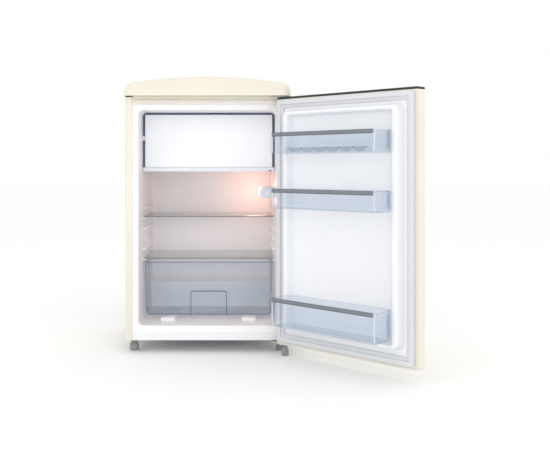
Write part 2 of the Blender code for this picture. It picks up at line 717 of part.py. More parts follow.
def make_handle():
    """Upright bar on two posts near the free edge of the door's outside."""
    x = -215.0
    for name, z in (("handle_post_upper", 700.0), ("handle_post_lower", 560.0)):
        turned(name, [(0.5, 0), (9, 0), (9, 2), (6, 4), (6, 21.7), (0.5, 21.7)], (x, DOOR_FRONT - 22, z),
               paint(name, (0.8, 0.8, 0.82), 0.12, 1.0), axis="y", steps=24, parent=DOOR)
    rings = []
    for share in (0, 0.02, 0.08, 0.2, 0.5, 0.8, 0.92, 0.98, 1):
        height = 530 + 200 * share
        width = 6 + 5 * math.sqrt(max(0.0, 1 - (2 * share - 1) ** 4))
        thick = 4 + 3 * math.sqrt(max(0.0, 1 - (2 * share - 1) ** 4))
        rings.append([(x + width * math.cos(math.tau * n / 20), DOOR_FRONT - 22 - GAP - 7 + thick * math.sin(math.tau * n / 20),
                       height) for n in range(20)])
    finish("door_handle", loft_data(rings), paint("door_handle", (0.8, 0.8, 0.82), 0.12, 1.0), parent=DOOR)


def bin_outline(inset):
    """Plan of a bin: wide in front of the raised wall, narrower between its sides."""
    wide = BIN_HALF - inset
    narrow = BIN_TONGUE_HALF - inset
    back = DOOR_BACK + 10 + inset
    shoulder = DOOR_BACK + DYKE_DEPTH + 1.0 + inset
    front = BIN_FRONT - inset
    corner = BIN_CORNER - inset
    half = [(narrow, back), (narrow, shoulder), (wide, shoulder)]
    for step in range(6):
        turn = math.radians(90 * step / 5)
        half.append((wide - corner + corner * math.cos(turn), front - corner + corner * math.sin(turn)))
    return half + [(-x, y) for x, y in reversed(half)]


def make_bin(name, bottom, top):
    """Clear door bin and the satin rail let into the top of its front."""
    origin = (0, DOOR_BACK, bottom)
    item = prism(name, bin_outline(0.0), "z", bottom, top, clear_plastic(name), parent=DOOR, origin=origin)
    cut(item, name + "_room", prism_data(bin_outline(BIN_WALL), "z", bottom + BIN_WALL, top + 9), DOOR)
    low, high = -BIN_HALF + RAIL_END, BIN_HALF - RAIL_END
    back = BIN_FRONT - RAIL_THICK
    cut(item, name + "_notch", box_data((low - GAP, back - GAP, top - RAIL_HEIGHT - GAP), (high + GAP, BIN_FRONT + 5, top + 9)),
        DOOR)
    rail = name.replace("_bin", "_rail")
    box(rail, (low, back, top - RAIL_HEIGHT), (high, BIN_FRONT, top), satin_rail(rail), 0.8, 1, parent=DOOR, origin=origin)


def make_egg_tray():
    """Insert with cups for eggs, in the upper bin."""
    bottom = BINS["upper_bin"][0] + BIN_WALL + GAP
    item = box("egg_tray", (-150, 38, bottom), (150, 88, bottom + 18), clear_plastic("egg_tray"), parent=DOOR,
               origin=(0, 63, bottom))
    for number in range(6):
        x = -125 + 50 * number
        cut(item, f"egg_cup_{number}", cylinder_data((x, 63, bottom + 3), 19, 40, "z"), DOOR)
    soften(item, 1.0, 1)


# ---------------------------------------------------------------- whole object

def solid_corners():
    """World corners of every solid piece."""
    depsgraph = bpy.context.evaluated_depsgraph_get()
    corners = []
    for item in FRIDGE.objects:
        if item.type == "MESH":
            ready = item.evaluated_get(depsgraph)
            matrix = item.matrix_world
            corners.extend(matrix @ vert.co for vert in ready.data.vertices)
    return corners


def centre_on_origin():
    """Move everything so the middle of the whole object's box stands on the origin."""
    bpy.context.view_layer.update()
    corners = solid_corners()
    shift_x = -(min(c.x for c in corners) + max(c.x for c in corners)) / 2
    shift_y = -(min(c.y for c in corners) + max(c.y for c in corners)) / 2
    for item in bpy.data.objects:
        if item.parent is None:
            item.location.x += shift_x
            item.location.y += shift_y
    bpy.context.view_layer.update()
    print("shift of the cabinet frame in metres:", round(shift_x, 6), round(shift_y, 6))


make_side("side_panel_left", -1)
make_side("side_panel_right", 1)
make_cabinet_panels()
make_foam()
make_liner()
make_top_cap()
make_hinges()
make_feet()
make_machine_space()
make_freezer()
make_controls()
make_shelf("upper_shelf", UPPER_SHELF_TOP)
make_shelf("lower_shelf", LOWER_SHELF_TOP)
make_drawer()
make_door_shell()
make_door_liner()
make_gasket()
make_handle()
for bin_name, (bin_bottom, bin_top) in BINS.items():
    make_bin(bin_name, bin_bottom, bin_top)
make_egg_tray()
centre_on_origin()
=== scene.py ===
import bmesh
import bpy
import numpy as np
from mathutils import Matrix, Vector


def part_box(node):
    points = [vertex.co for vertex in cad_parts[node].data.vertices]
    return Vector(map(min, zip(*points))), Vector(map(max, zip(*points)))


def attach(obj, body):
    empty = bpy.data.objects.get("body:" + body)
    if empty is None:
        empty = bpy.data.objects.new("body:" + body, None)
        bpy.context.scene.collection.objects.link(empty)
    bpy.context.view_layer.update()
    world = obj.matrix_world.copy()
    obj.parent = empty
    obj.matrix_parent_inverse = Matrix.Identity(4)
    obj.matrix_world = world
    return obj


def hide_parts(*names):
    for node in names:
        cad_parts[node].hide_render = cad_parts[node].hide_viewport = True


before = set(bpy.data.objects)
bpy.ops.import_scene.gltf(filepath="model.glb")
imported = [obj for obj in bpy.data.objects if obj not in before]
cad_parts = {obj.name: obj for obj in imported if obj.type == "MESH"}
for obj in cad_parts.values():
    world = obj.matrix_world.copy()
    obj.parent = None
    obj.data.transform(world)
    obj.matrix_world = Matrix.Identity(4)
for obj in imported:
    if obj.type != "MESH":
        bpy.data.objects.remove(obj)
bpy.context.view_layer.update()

# ---------------------------------------------------------------------------
# Cabinet sides. Each is one sheet of steel with glossy cream enamel, its
# front edge folded in round the door opening; the two stand 550 mm apart.
# All sizes are metres from the middle of the cabinet's front edge, floor = 0.
# ---------------------------------------------------------------------------
MM = 0.001
SIDE_HALF = 275 * MM
SIDE_DEPTH = 480 * MM
SIDE_BOTTOM = 42 * MM
SIDE_TOP = 854 * MM
FOLD_WIDTH = 24 * MM
FOLD_RETURN = 12 * MM
SHEET = 1 * MM
SHARPEST = 0.4 * MM
left_panel_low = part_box("side_panel_left")[0]
CABINET_ORIGIN = np.array([left_panel_low[0] + SIDE_HALF, left_panel_low[1], 0.0])


def lay(across, along, over, axis):
    """Three arrays as points: over runs along the named axis, across and along on the other two in order."""
    order = {"z": (across, along, over), "y": (across, over, along), "x": (over, across, along)}[axis]
    return np.stack(np.broadcast_arrays(*order), axis=-1)


def skin(rings, loop=False, ends=(True, True)):
    """Faces over a stack of closed rings (rows, points, 3).

    Face (i, j) joins points j and j + 1 of rings i and i + 1, counted round the ring. loop joins the last
    ring to the first, and ends closes the first and last rings with a flat face.
    """
    rows, count = rings.shape[:2]
    number = np.arange(rows * count).reshape(rows, count)
    if loop:
        number = np.vstack([number, number[:1]])
    low, high = number[:-1], number[1:]
    quads = np.stack([low, np.roll(low, -1, 1), np.roll(high, -1, 1), high], axis=-1).reshape(-1, 4)
    faces = quads.tolist()
    if not loop and ends[0]:
        faces.append(number[0][::-1].tolist())
    if not loop and ends[1]:
        faces.append(number[-1].tolist())
    return rings.reshape(-1, 3), faces


def round_corners(low, high, radius, steps=8, along=1):
    """Rectangle between two corners, points run round it.

    Each corner is a quarter circle of that radius, and each straight side is divided into equal parts.
    """
    low, high = np.asarray(low, float), np.asarray(high, float)
    turn = np.radians(np.arange(4)[:, None] * 90 + np.linspace(0, 90, steps + 1)[None, :])
    side = np.array([[1, 1], [0, 1], [0, 0], [1, 0]])[:, None]
    centre = low + radius + side * (high - low - 2 * radius)
    arcs = centre + radius * np.stack([np.cos(turn), np.sin(turn)], axis=-1)
    start, end = arcs[:, -1:], np.roll(arcs, -1, axis=0)[:, :1]
    sides = start + (end - start) * (np.arange(1, along) / along)[None, :, None]
    return np.concatenate([arcs, sides], axis=1).reshape(-1, 2)


def nested(low, high, radius, profile, axis, steps=8):
    """Stack of round-cornered rectangles: each profile row (inset, height) draws one in and moves it over."""
    rings = []
    for inset, over in profile:
        corner = max(radius - inset, SHARPEST)
        outline = round_corners(np.add(low, inset), np.subtract(high, inset), corner, steps)
        rings.append(lay(outline[:, 0], outline[:, 1], over, axis))
    return np.array(rings)


def slab(low, high, axis, corner, edge, steps=6):
    """Plate between two corners: round corners in its plane and a quarter-circle round-over on its rims."""
    first, second, third = {"z": (0, 1, 2), "y": (0, 2, 1), "x": (1, 2, 0)}[axis]
    arc = np.linspace(0, np.pi / 2, 4)
    start = np.stack([edge * (1 - np.sin(arc)), low[third] + edge * (1 - np.cos(arc))], axis=-1)
    end = np.stack([edge * (1 - np.cos(arc)), high[third] - edge * (1 - np.sin(arc))], axis=-1)
    return skin(nested((low[first], low[second]), (high[first], high[second]), corner,
                       np.vstack([start, end]), axis, steps))


def pushed(outline, start, end):
    """Closed outline of (x, y) points pushed straight up between two heights."""
    return skin(np.array([lay(outline[:, 0], outline[:, 1], height, "z") for height in (start, end)]))


def round_path(points, radii, steps=6):
    """Open path whose inner corners are arcs, tangent to both sides at radius / tan(half angle)."""
    points = np.asarray(points, float)
    run = [points[:1]]
    for before, corner, after, radius in zip(points, points[1:], points[2:], radii):
        to_before = (before - corner) / np.linalg.norm(before - corner)
        to_after = (after - corner) / np.linalg.norm(after - corner)
        half = np.arccos(np.clip(to_before @ to_after, -1, 1)) / 2
        middle = (to_before + to_after) / np.linalg.norm(to_before + to_after)
        centre = corner + middle * radius / np.sin(half)
        start = corner + to_before * radius / np.tan(half) - centre
        end = corner + to_after * radius / np.tan(half) - centre
        share = np.linspace(0, 1, steps + 1)[:, None]
        angle = np.pi - 2 * half
        arc = (np.sin((1 - share) * angle) * start + np.sin(share * angle) * end) / np.sin(angle)
        run.append(centre + arc)
    run.append(points[-1:])
    return np.vstack(run)


def offset_path(path, distance):
    """Open path moved to its left: each point goes along the mean normal of its two sides."""
    step = np.diff(path, axis=0)
    normal = np.stack([-step[:, 1], step[:, 0]], axis=-1)
    normal /= np.linalg.norm(normal, axis=1, keepdims=True)
    at_point = np.vstack([normal[:1], normal[:-1] + normal[1:], normal[-1:]])
    at_point /= np.linalg.norm(at_point, axis=1, keepdims=True)
    spread = np.ones(len(path))
    spread[1:-1] = 1 / np.sqrt((1 + (normal[:-1] * normal[1:]).sum(1)) / 2)
    return path + at_point * (distance * spread)[:, None]


def folded_strip(path, thickness):
    """Outline of a sheet bent along a path: the path and its offset copy, joined at the ends."""
    return np.vstack([path, offset_path(path, thickness)[::-1]])


def piece(name, shapes, material, body, stands_for=(), crease=35.0):
    """One object of several (points, faces) shapes, smooth but for edges over the crease angle."""
    points, faces, start = [], [], 0
    for spots, sides in shapes:
        points.append(spots)
        faces.extend([[start + corner for corner in side] for side in sides])
        start += len(spots)
    mesh = bpy.data.meshes.new(name)
    mesh.from_pydata((np.vstack(points) + CABINET_ORIGIN).tolist(), [], faces)
    solid = bmesh.new()
    solid.from_mesh(mesh)
    bmesh.ops.remove_doubles(solid, verts=solid.verts, dist=1e-6)
    bmesh.ops.recalc_face_normals(solid, faces=solid.faces)
    solid.to_mesh(mesh)
    solid.free()
    mesh.polygons.foreach_set("use_smooth", np.ones(len(mesh.polygons), bool))
    mesh.set_sharp_from_angle(angle=np.radians(crease))
    mesh.materials.append(material)
    made = bpy.data.objects.new(name, mesh)
    bpy.context.scene.collection.objects.link(made)
    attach(made, body)
    if stands_for:
        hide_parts(*stands_for)
    return made


class Finish:
    """A Principled material that is built up node by node on Object coordinates."""

    def __init__(self, name, colour, roughness, **sockets):
        self.material = bpy.data.materials.new(name)
        self.material.use_nodes = True
        self.nodes = self.material.node_tree.nodes
        self.links = self.material.node_tree.links
        self.shader = self.nodes["Principled BSDF"]
        self.shader.inputs["Base Color"].default_value = (*colour, 1)
        self.shader.inputs["Roughness"].default_value = roughness
        for socket, value in sockets.items():
            self.shader.inputs[socket.replace("_", " ")].default_value = value
        self.where = self.nodes.new("ShaderNodeTexCoord").outputs["Object"]
        self.colour = colour
        self.height = None

    def stretched(self, scale):
        """The place, scaled by a different amount along each axis."""
        mapping = self.nodes.new("ShaderNodeMapping")
        mapping.inputs["Scale"].default_value = scale
        self.links.new(self.where, mapping.inputs["Vector"])
        return mapping.outputs["Vector"]

    def noise(self, scale, detail=3.0, where=None):
        """Soft random field, about 0.5 on average."""
        field = self.nodes.new("ShaderNodeTexNoise")
        field.inputs["Scale"].default_value = scale
        field.inputs["Detail"].default_value = detail
        self.links.new(where or self.where, field.inputs["Vector"])
        return field.outputs["Fac"]

    def cells(self, scale, where=None):
        """Distance to the nearest of many scattered points."""
        field = self.nodes.new("ShaderNodeTexVoronoi")
        field.inputs["Scale"].default_value = scale
        self.links.new(where or self.where, field.inputs["Vector"])
        return field.outputs["Distance"]

    def spread(self, field, low, high, start=0.3, end=0.7):
        """Field from start..end mapped to low..high, held at both ends."""
        change = self.nodes.new("ShaderNodeMapRange")
        for socket, value in (("From Min", start), ("From Max", end), ("To Min", low), ("To Max", high)):
            change.inputs[socket].default_value = value
        self.links.new(field, change.inputs["Value"])
        return change.outputs["Result"]

    def tint(self, field, other, start=0.3, end=0.7):
        """Base colour blends towards another colour where the field is high."""
        blend = self.nodes.new("ShaderNodeMix")
        blend.data_type = "RGBA"
        source = self.shader.inputs["Base Color"]
        if source.is_linked:
            self.links.new(source.links[0].from_socket, blend.inputs["A"])
        else:
            blend.inputs["A"].default_value = (*self.colour, 1)
        blend.inputs["B"].default_value = (*other, 1)
        self.links.new(self.spread(field, 0.0, 1.0, start, end), blend.inputs["Factor"])
        self.links.new(blend.outputs["Result"], source)

    def worn(self, field, low, high):
        """Roughness runs from low to high with the field."""
        self.links.new(self.spread(field, low, high), self.shader.inputs["Roughness"])

    def raised(self, field, depth, strength=1.0):
        """Field as a relief of that depth in metres, on top of any before it."""
        bump = self.nodes.new("ShaderNodeBump")
        bump.inputs["Strength"].default_value = strength
        bump.inputs["Distance"].default_value = depth
        self.links.new(field, bump.inputs["Height"])
        if self.height:
            self.links.new(self.height, bump.inputs["Normal"])
        self.height = bump.outputs["Normal"]
        self.links.new(self.height, self.shader.inputs["Normal"])


def cream_enamel(name, colour=(0.81, 0.77, 0.655), roughness=0.2):
    """Glossy cream paint: faint clouding of the colour, orange-peel ripple, clear top coat."""
    paint = Finish(name, colour, roughness, Coat_Weight=0.35, Coat_Roughness=0.06)
    paint.tint(paint.noise(6), tuple(0.965 * value for value in colour))
    paint.worn(paint.noise(35), roughness * 0.85, roughness * 1.25)
    paint.raised(paint.noise(300, 1.0), 0.00003, 0.25)
    return paint.material


enamel = cream_enamel("cream_enamel_sides")
for name, side in (("side_sheet_left", -1), ("side_sheet_right", 1)):
    corners = [[SIDE_HALF, SIDE_DEPTH], [SIDE_HALF, 0], [SIDE_HALF - FOLD_WIDTH, 0],
               [SIDE_HALF - FOLD_WIDTH, FOLD_RETURN]]
    bend = round_path(corners, [4.5 * MM, 1.8 * MM])
    sheet = folded_strip(bend, -SHEET)
    piece(name, [pushed(sheet * [side, 1], SIDE_BOTTOM, SIDE_TOP)], enamel, "cabinet",
          (f"side_panel_{'left' if side < 0 else 'right'}",))

# ---------------------------------------------------------------------------
# Liner. A white tub drawn from one sheet of plastic: flat flange round the
# mouth, a rolled lip, walls, and a step in the floor over the machine space.
# ---------------------------------------------------------------------------
MOUTH_HALF = 230.5 * MM
FLOOR = 91 * MM
CEILING = 810 * MM
TUB_BACK = 415 * MM
STEP_FRONT = 322 * MM
STEP_TOP = 196 * MM
FLANGE_HALF = 250.7 * MM
FLANGE_LOW = 66 * MM
FLANGE_HIGH = 829 * MM
TUB_RADIUS = 17 * MM
LIP = 4 * MM
BACK_ROUND = 14 * MM
STEP_ROUND = 8 * MM
LINER_WALL = 1.6 * MM


def white_plastic(name, colour=(0.86, 0.87, 0.90), roughness=0.34):
    """Moulded white plastic: a cool white, fine leather-like grain, slight mottling of the gloss."""
    plastic = Finish(name, colour, roughness, Specular_IOR_Level=0.5)
    plastic.tint(plastic.noise(5), tuple(0.985 * value for value in colour))
    plastic.worn(plastic.noise(40), roughness * 0.92, roughness * 1.08)
    plastic.raised(plastic.noise(260, 1.0), 0.00002, 0.12)
    return plastic.material


def tub_ring(inset, depth, floor=FLOOR):
    """Round-cornered mouth shape of the tub, drawn in by inset, at a depth, above a floor height."""
    outline = round_corners((-MOUTH_HALF + inset, floor + inset), (MOUTH_HALF - inset, CEILING - inset),
                            max(TUB_RADIUS - inset, 1 * MM), 10)
    return lay(outline[:, 0], outline[:, 1], depth, "y")


def tub_rings(wall):
    """Rings from the flange's rim over the lip, down the walls and round to the back, moved out by wall."""
    turns = np.linspace(0, np.pi / 2, 6)
    rings = []
    for share in np.linspace(0, 1, 3):
        half = FLANGE_HALF + (MOUTH_HALF + LIP - FLANGE_HALF) * share
        low = FLANGE_LOW + (FLOOR - LIP - FLANGE_LOW) * share
        high = FLANGE_HIGH + (CEILING + LIP - FLANGE_HIGH) * share
        outline = round_corners((-half, low), (half, high), (2 + 17 * share) * MM, 10)
        rings.append(lay(outline[:, 0], outline[:, 1], wall, "y"))
    for turn in turns[1:]:
        inset = -LIP * (1 - np.sin(turn)) - wall
        rings.append(tub_ring(inset, LIP * (1 - np.cos(turn)) + wall * np.cos(turn)))
    for depth, draft in ((60 * MM, 0.4 * MM), (150 * MM, 1.0 * MM), (STEP_FRONT - BACK_ROUND, 1.8 * MM)):
        rings.append(tub_ring(draft - wall, depth))
    for turn in turns:
        rings.append(tub_ring(2 * MM - wall, STEP_FRONT - BACK_ROUND * (1 - np.sin(turn)) + wall,
                              FLOOR + BACK_ROUND * (1 - np.cos(turn))))
    for turn in turns:
        rings.append(tub_ring(2 * MM - wall, STEP_FRONT + STEP_ROUND * (1 - np.cos(turn)) + wall,
                              STEP_TOP - STEP_ROUND * (1 - np.sin(turn))))
    for turn in turns:
        rings.append(tub_ring(3 * MM - wall + BACK_ROUND * (1 - np.cos(turn)),
                              TUB_BACK - BACK_ROUND * (1 - np.sin(turn)) + wall, STEP_TOP))
    return np.array(rings)


liner_white = white_plastic("liner_white", (0.935, 0.915, 0.93))
tub = skin(np.concatenate([tub_rings(0.0)[::-1], tub_rings(LINER_WALL)]))

RIB_LOWEST = 300.7 * MM
RIB_PITCH = 36.25 * MM
RIB_DEPTH = 9 * MM
ribs = []
for side in (-1, 1):
    for top in RIB_LOWEST + RIB_PITCH * np.arange(6):
        near, far = sorted((side * (MOUTH_HALF + 0.6 * MM), side * (MOUTH_HALF - RIB_DEPTH)))
        ribs.append(slab((near, 128 * MM, top - 7 * MM), (far, 398 * MM, top), "x", 3.2 * MM, 1.4 * MM))
PAD_HALF = 25 * MM
PAD_PLACE = 139 * MM
pads = [slab((middle - PAD_HALF, 78 * MM, FLOOR - 0.5 * MM), (middle + PAD_HALF, 312 * MM, FLOOR + 12 * MM),
             "z", 5 * MM, 3 * MM) for middle in (-PAD_PLACE, PAD_PLACE)]
piece("liner_tub", [tub] + ribs + pads, liner_white, "cabinet", ("inner_liner",))

# ---------------------------------------------------------------------------
# Front bars. A cream enamelled bar above the liner's flange, its cream made paler than the sides'
# as painted light, and a white moulded strip below it close the cabinet's front edge between the sides.
# ---------------------------------------------------------------------------
BAR_HALF = 250.7 * MM
upper_bar = slab((-BAR_HALF, 0, 829.3 * MM), (BAR_HALF, 3 * MM, 845 * MM), "y", 0.8 * MM, 0.6 * MM)
# Painted light: the bar's paler cream is the sides' enamel drawn as it looks where light falls on it.
bar_enamel_painted_light = cream_enamel("cream_enamel_bar_painted_light", (0.84, 0.80, 0.74))
piece("upper_bar", [upper_bar], bar_enamel_painted_light, "cabinet", ("upper_front_bar",))
under_cap = slab((-BAR_HALF, 3.5 * MM, 845.3 * MM), (BAR_HALF, 9 * MM, 857.4 * MM), "y", 0.8 * MM, 0.5 * MM)
# Painted light: the band under the cap is the sides' cream made paler to offset the shade the cap casts on
# it.
frame_enamel_painted_light = cream_enamel("cream_enamel_frame_painted_light", (0.90, 0.87, 0.75))
piece("cap_frame", [under_cap], frame_enamel_painted_light, "cabinet", ("cap_underframe",))
lower_strip = slab((-BAR_HALF, 0, 42 * MM), (BAR_HALF, 12 * MM, 65.7 * MM), "y", 1.2 * MM, 1.0 * MM)
strip_white = white_plastic("strip_white", (0.87, 0.87, 0.89))
piece("lower_strip", [lower_strip], strip_white, "cabinet", ("lower_front_strip",))

# ---------------------------------------------------------------------------
# Domed top. A single cream moulding with upright skirts, a rolled shoulder
# and a crown that is highest along the middle; it overhangs the shut door.
# ---------------------------------------------------------------------------
CAP_HALF = 276.5 * MM
CAP_FRONT = -64 * MM
CAP_RIM = 854.4 * MM
SKIRT_TOP = 869 * MM
SHOULDER = 22 * MM
SHOULDER_RISE = 24 * MM
CROWN = 24.6 * MM
CAP_WALL = 2.6 * MM
SOFFIT_EDGE = 2.4 * MM


def cap_rings(wall):
    """Rings from the rim up the leaning skirt, over the shoulder's quarter ellipse and in to the middle.

    The height adds CROWN * (1 - (x / half)^2), faded in over the shoulder.
    """
    turns = np.linspace(0, np.pi / 2, 12)
    rows = [(0.0, CAP_RIM), (0.4 * MM, CAP_RIM + 8 * MM), (1.2 * MM, SKIRT_TOP)]
    rows += [(1.2 * MM + SHOULDER * (1 - np.cos(turn)), SKIRT_TOP + SHOULDER_RISE * np.sin(turn))
             for turn in turns[1:]]
    rings = []
    for inset, height in rows:
        low = (-CAP_HALF + inset + wall, CAP_FRONT + inset + wall)
        high = (CAP_HALF - inset - wall, SIDE_DEPTH - inset - wall)
        outline = round_corners(low, high, max(34 * MM - 0.6 * inset, 8 * MM), 10, 24)
        under = wall if height > SKIRT_TOP else 0
        rings.append(lay(outline[:, 0], outline[:, 1], height - under, "z"))
    last = rings[-1]
    middle = np.array([0, (CAP_FRONT + SIDE_DEPTH) / 2, 0])
    for share in (0.95, 0.88, 0.78, 0.66, 0.52, 0.38, 0.24, 0.1, 0.01):
        rings.append((last - middle) * [share, share, 1] + middle)
    rings = np.array(rings)
    fade = np.clip((rings[..., 2] - (SKIRT_TOP - wall)) / SHOULDER_RISE, 0, 1)
    rings[..., 2] += CROWN * fade * (1 - (rings[..., 0] / CAP_HALF) ** 2)
    return rings


cap_shell = skin(np.concatenate([cap_rings(CAP_WALL)[::-1], cap_rings(0.0)]))
soffit = slab((-CAP_HALF + SOFFIT_EDGE, CAP_FRONT + SOFFIT_EDGE, 857.6 * MM),
              (CAP_HALF - SOFFIT_EDGE, SIDE_DEPTH - SOFFIT_EDGE, 859.6 * MM), "z", 31 * MM, 0.3 * MM, 10)
top_enamel = cream_enamel("cream_top", roughness=0.16)
piece("domed_top", [cap_shell, soffit], top_enamel, "cabinet", ("top_cap",), 50)

# ---------------------------------------------------------------------------
# Ice box. Moulded frame coloured dark blue-grey as painted shade in the gap round the plain white
# flap, which hangs on an upright pin at its right; a drip strip under it, grey-lilac as painted shade
# below the flap; and an aluminium sleeve behind.
# ---------------------------------------------------------------------------
FLAP_HALF = 221 * MM
FLAP_LOW = 620 * MM
FLAP_HIGH = 802 * MM
FLAP_FRONT = 118 * MM
HINGE_X = 216 * MM
HINGE_Y = 123 * MM
FRAME_LOW = 605 * MM
FRAME_HIGH = 809.2 * MM
FRAME_FRONT = 130 * MM
FRAME_BACK = 141.7 * MM


def turned(centre, axis, profile, steps=40):
    """Solid of revolution: each profile row (radius, height) is a circle about the axis through centre."""
    turn = np.linspace(0, 2 * np.pi, steps, endpoint=False)
    profile = np.asarray(profile, float)
    across = profile[:, :1] * np.cos(turn)
    along = profile[:, :1] * np.sin(turn)
    over = np.repeat(profile[:, 1:], steps, axis=1)
    return skin(lay(across, along, over, axis) + np.asarray(centre))


flap_white = white_plastic("flap_white", (0.93, 0.945, 0.975), 0.22)
flap_plate = slab((-FLAP_HALF, FLAP_FRONT, FLAP_LOW), (FLAP_HALF, FLAP_FRONT + 9 * MM, FLAP_HIGH), "y",
                  2.5 * MM, 1.6 * MM)
flap_pin = turned((HINGE_X, HINGE_Y, 0), "z", [(2.2 * MM, 605.6 * MM), (2.2 * MM, 807.9 * MM)], 20)
piece("ice_box_flap", [flap_plate, flap_pin], flap_white, "freezer_flap", ("freezer_flap",))

frame_half = MOUTH_HALF - 0.8 * MM
outer_frame = nested((-frame_half, FRAME_LOW), (frame_half, FRAME_HIGH), 21 * MM,
                     [(0, FRAME_FRONT), (0, FRAME_BACK)], "y")
inner_frame = nested((-202 * MM, 626 * MM), (202 * MM, 795 * MM), 6 * MM,
                     [(0, FRAME_BACK), (0, FRAME_FRONT)], "y")
foot_corners = outer_frame[..., 2] < FRAME_LOW + 35 * MM
outer_frame[..., 0] = np.where(foot_corners, np.sign(outer_frame[..., 0]) * frame_half, outer_frame[..., 0])
outer_frame[..., 2] = np.where(foot_corners, FRAME_LOW, outer_frame[..., 2])
frame_body = skin(np.concatenate([outer_frame, inner_frame]), loop=True)
lugs = [slab((HINGE_X - 8 * MM, 117 * MM, low * MM), (HINGE_X + 3 * MM, 131 * MM, (low + 4) * MM), "z",
             3 * MM, 0.6 * MM) for low in (605.2, 803.5)]
# Painted shade: the frame is dark blue-grey to stand for the deep shade in the gap round the flap.
gap_shade_paint = white_plastic("frame_painted_gap_shade", (0.11, 0.15, 0.25))
piece("ice_box_frame", [frame_body] + lugs, gap_shade_paint, "cabinet", ("freezer_frame",))
STRIP_HALF = 228.6 * MM
STRIP_BACK = 129.6 * MM
drip = slab((-STRIP_HALF, 118.8 * MM, 604.6 * MM), (STRIP_HALF, STRIP_BACK, 619.4 * MM), "y",
            2 * MM, 1.0 * MM)
# Painted shade: the strip's grey-lilac stands for the soft shadow under the flap.
drip_strip_painted_shade = white_plastic("drip_strip_painted_shade", (0.80, 0.82, 0.89), 0.3)
piece("drip_strip", [drip], drip_strip_painted_shade, "cabinet", ("freezer_lip",))
catch = slab((-STRIP_HALF, 116 * MM, 712 * MM), (6 * MM - STRIP_HALF, STRIP_BACK, 728 * MM), "y",
             1.5 * MM, 1.0 * MM)
piece("flap_catch", [catch], white_plastic("catch_white"), "cabinet", ("freezer_catch",))


def rolled_aluminium(name):
    """Milled sheet: long fine rolling lines from left to right."""
    metal = Finish(name, (0.78, 0.79, 0.81), 0.34, Metallic=1.0)
    lines = metal.noise(60, 4.0, metal.stretched((1, 1, 26)))
    metal.worn(lines, 0.26, 0.44)
    metal.raised(lines, 0.00004, 0.4)
    return metal.material


SLEEVE_FRONT = 142 * MM
sleeve_out = nested((-206 * MM, 622 * MM), (206 * MM, 799 * MM), 8 * MM,
                    [(0, SLEEVE_FRONT), (0, 404 * MM), (4 * MM, 409 * MM)], "y")
sleeve_in = nested((-203.5 * MM, 624.5 * MM), (203.5 * MM, 796.5 * MM), 6 * MM,
                   [(4 * MM, 406 * MM), (0, 402 * MM), (0, SLEEVE_FRONT)], "y")
piece("ice_box_sleeve", [skin(np.concatenate([sleeve_in, sleeve_out]))], rolled_aluminium("sleeve_metal"),
      "cabinet", ("freezer_sleeve",))

# ---------------------------------------------------------------------------
# Lamp and thermostat housing. A milky moulding screwed to the right wall, with a faint cool glow
# as painted light, a ribbed knob on its front end and a frosted bulb that lights the tub.
# ---------------------------------------------------------------------------
HOUSING_WALL = 230.2 * MM
HOUSING_LEFT = 177.4 * MM
HOUSING_LOW = 509 * MM
HOUSING_HIGH = 549 * MM
KNOB_X = 204.2 * MM
KNOB_Z = 529 * MM
housing_corners = [[HOUSING_WALL, HOUSING_HIGH], [HOUSING_LEFT, HOUSING_HIGH], [HOUSING_LEFT, HOUSING_LOW],
                   [HOUSING_WALL, HOUSING_LOW]]
housing_end = round_path(housing_corners, [19 * MM, 19 * MM], 12)
housing_rows = [(9, 190), (5, 190.6), (2, 192.4), (0.6, 195), (0, 200), (0, 322), (1.5, 328), (6, 330)]
housing_rings = [lay(*offset_path(housing_end, inset * MM).T, over * MM, "y") for inset, over in housing_rows]
# Painted light: the faint blue emission makes the housing glow though it is no lamp.
milky_painted_glow = Finish("housing_milky_painted_glow", (0.80, 0.86, 0.95), 0.22, Subsurface_Weight=0.25, Subsurface_Scale=0.01,
               Emission_Strength=0.12)
milky_painted_glow.shader.inputs["Emission Color"].default_value = (0.75, 0.85, 1.0, 1)
milky_painted_glow.raised(milky_painted_glow.noise(500), 0.00004, 0.3)
piece("lamp_housing", [skin(np.array(housing_rings))], milky_painted_glow.material, "cabinet", ("thermostat_housing",), 45)

knob_turn = np.linspace(0, 2 * np.pi, 96, endpoint=False)
knob_radius = 13 * MM + 0.6 * MM * np.cos(24 * knob_turn)
knob_rows = []
for scale, over in ((0.9, 189.5), (1.0, 188.7), (1.0, 179), (0.93, 177.7), (0.6, 177.5)):
    knob_rows.append(lay(KNOB_X + scale * knob_radius * np.cos(knob_turn),
                         KNOB_Z + scale * knob_radius * np.sin(knob_turn), over * MM, "y"))
dial_white = white_plastic("dial_white", (0.82, 0.85, 0.9))
piece("thermostat_dial", [skin(np.array(knob_rows))], dial_white, "thermostat_knob", ("thermostat_knob",))

glow = Finish("bulb_glow", (1.0, 0.85, 0.62), 0.3, Emission_Strength=9.0)
glow.shader.inputs["Emission Color"].default_value = (1.0, 0.66, 0.36, 1)
glow.tint(glow.noise(90), (1.0, 0.93, 0.8))
BULB = np.array([(0.1, 0), (4, 0.8), (7.5, 6), (8.5, 12), (7.5, 20), (5.5, 26), (5.5, 36), (0.1, 36)]) * MM
bulb = turned((KNOB_X, 265 * MM, KNOB_Z), "y", BULB)
piece("bulb", [bulb], glow.material, "cabinet", ("lamp_bulb",))
SWITCH = np.array([(0.1, 0), (7, 0), (9, 0.8), (9, 2), (0.1, 2)]) * MM
switch = turned((228.2 * MM, 24 * MM, 525 * MM), "x", SWITCH)
piece("lamp_switch", [switch], white_plastic("switch_white"), "cabinet", ("light_switch",))

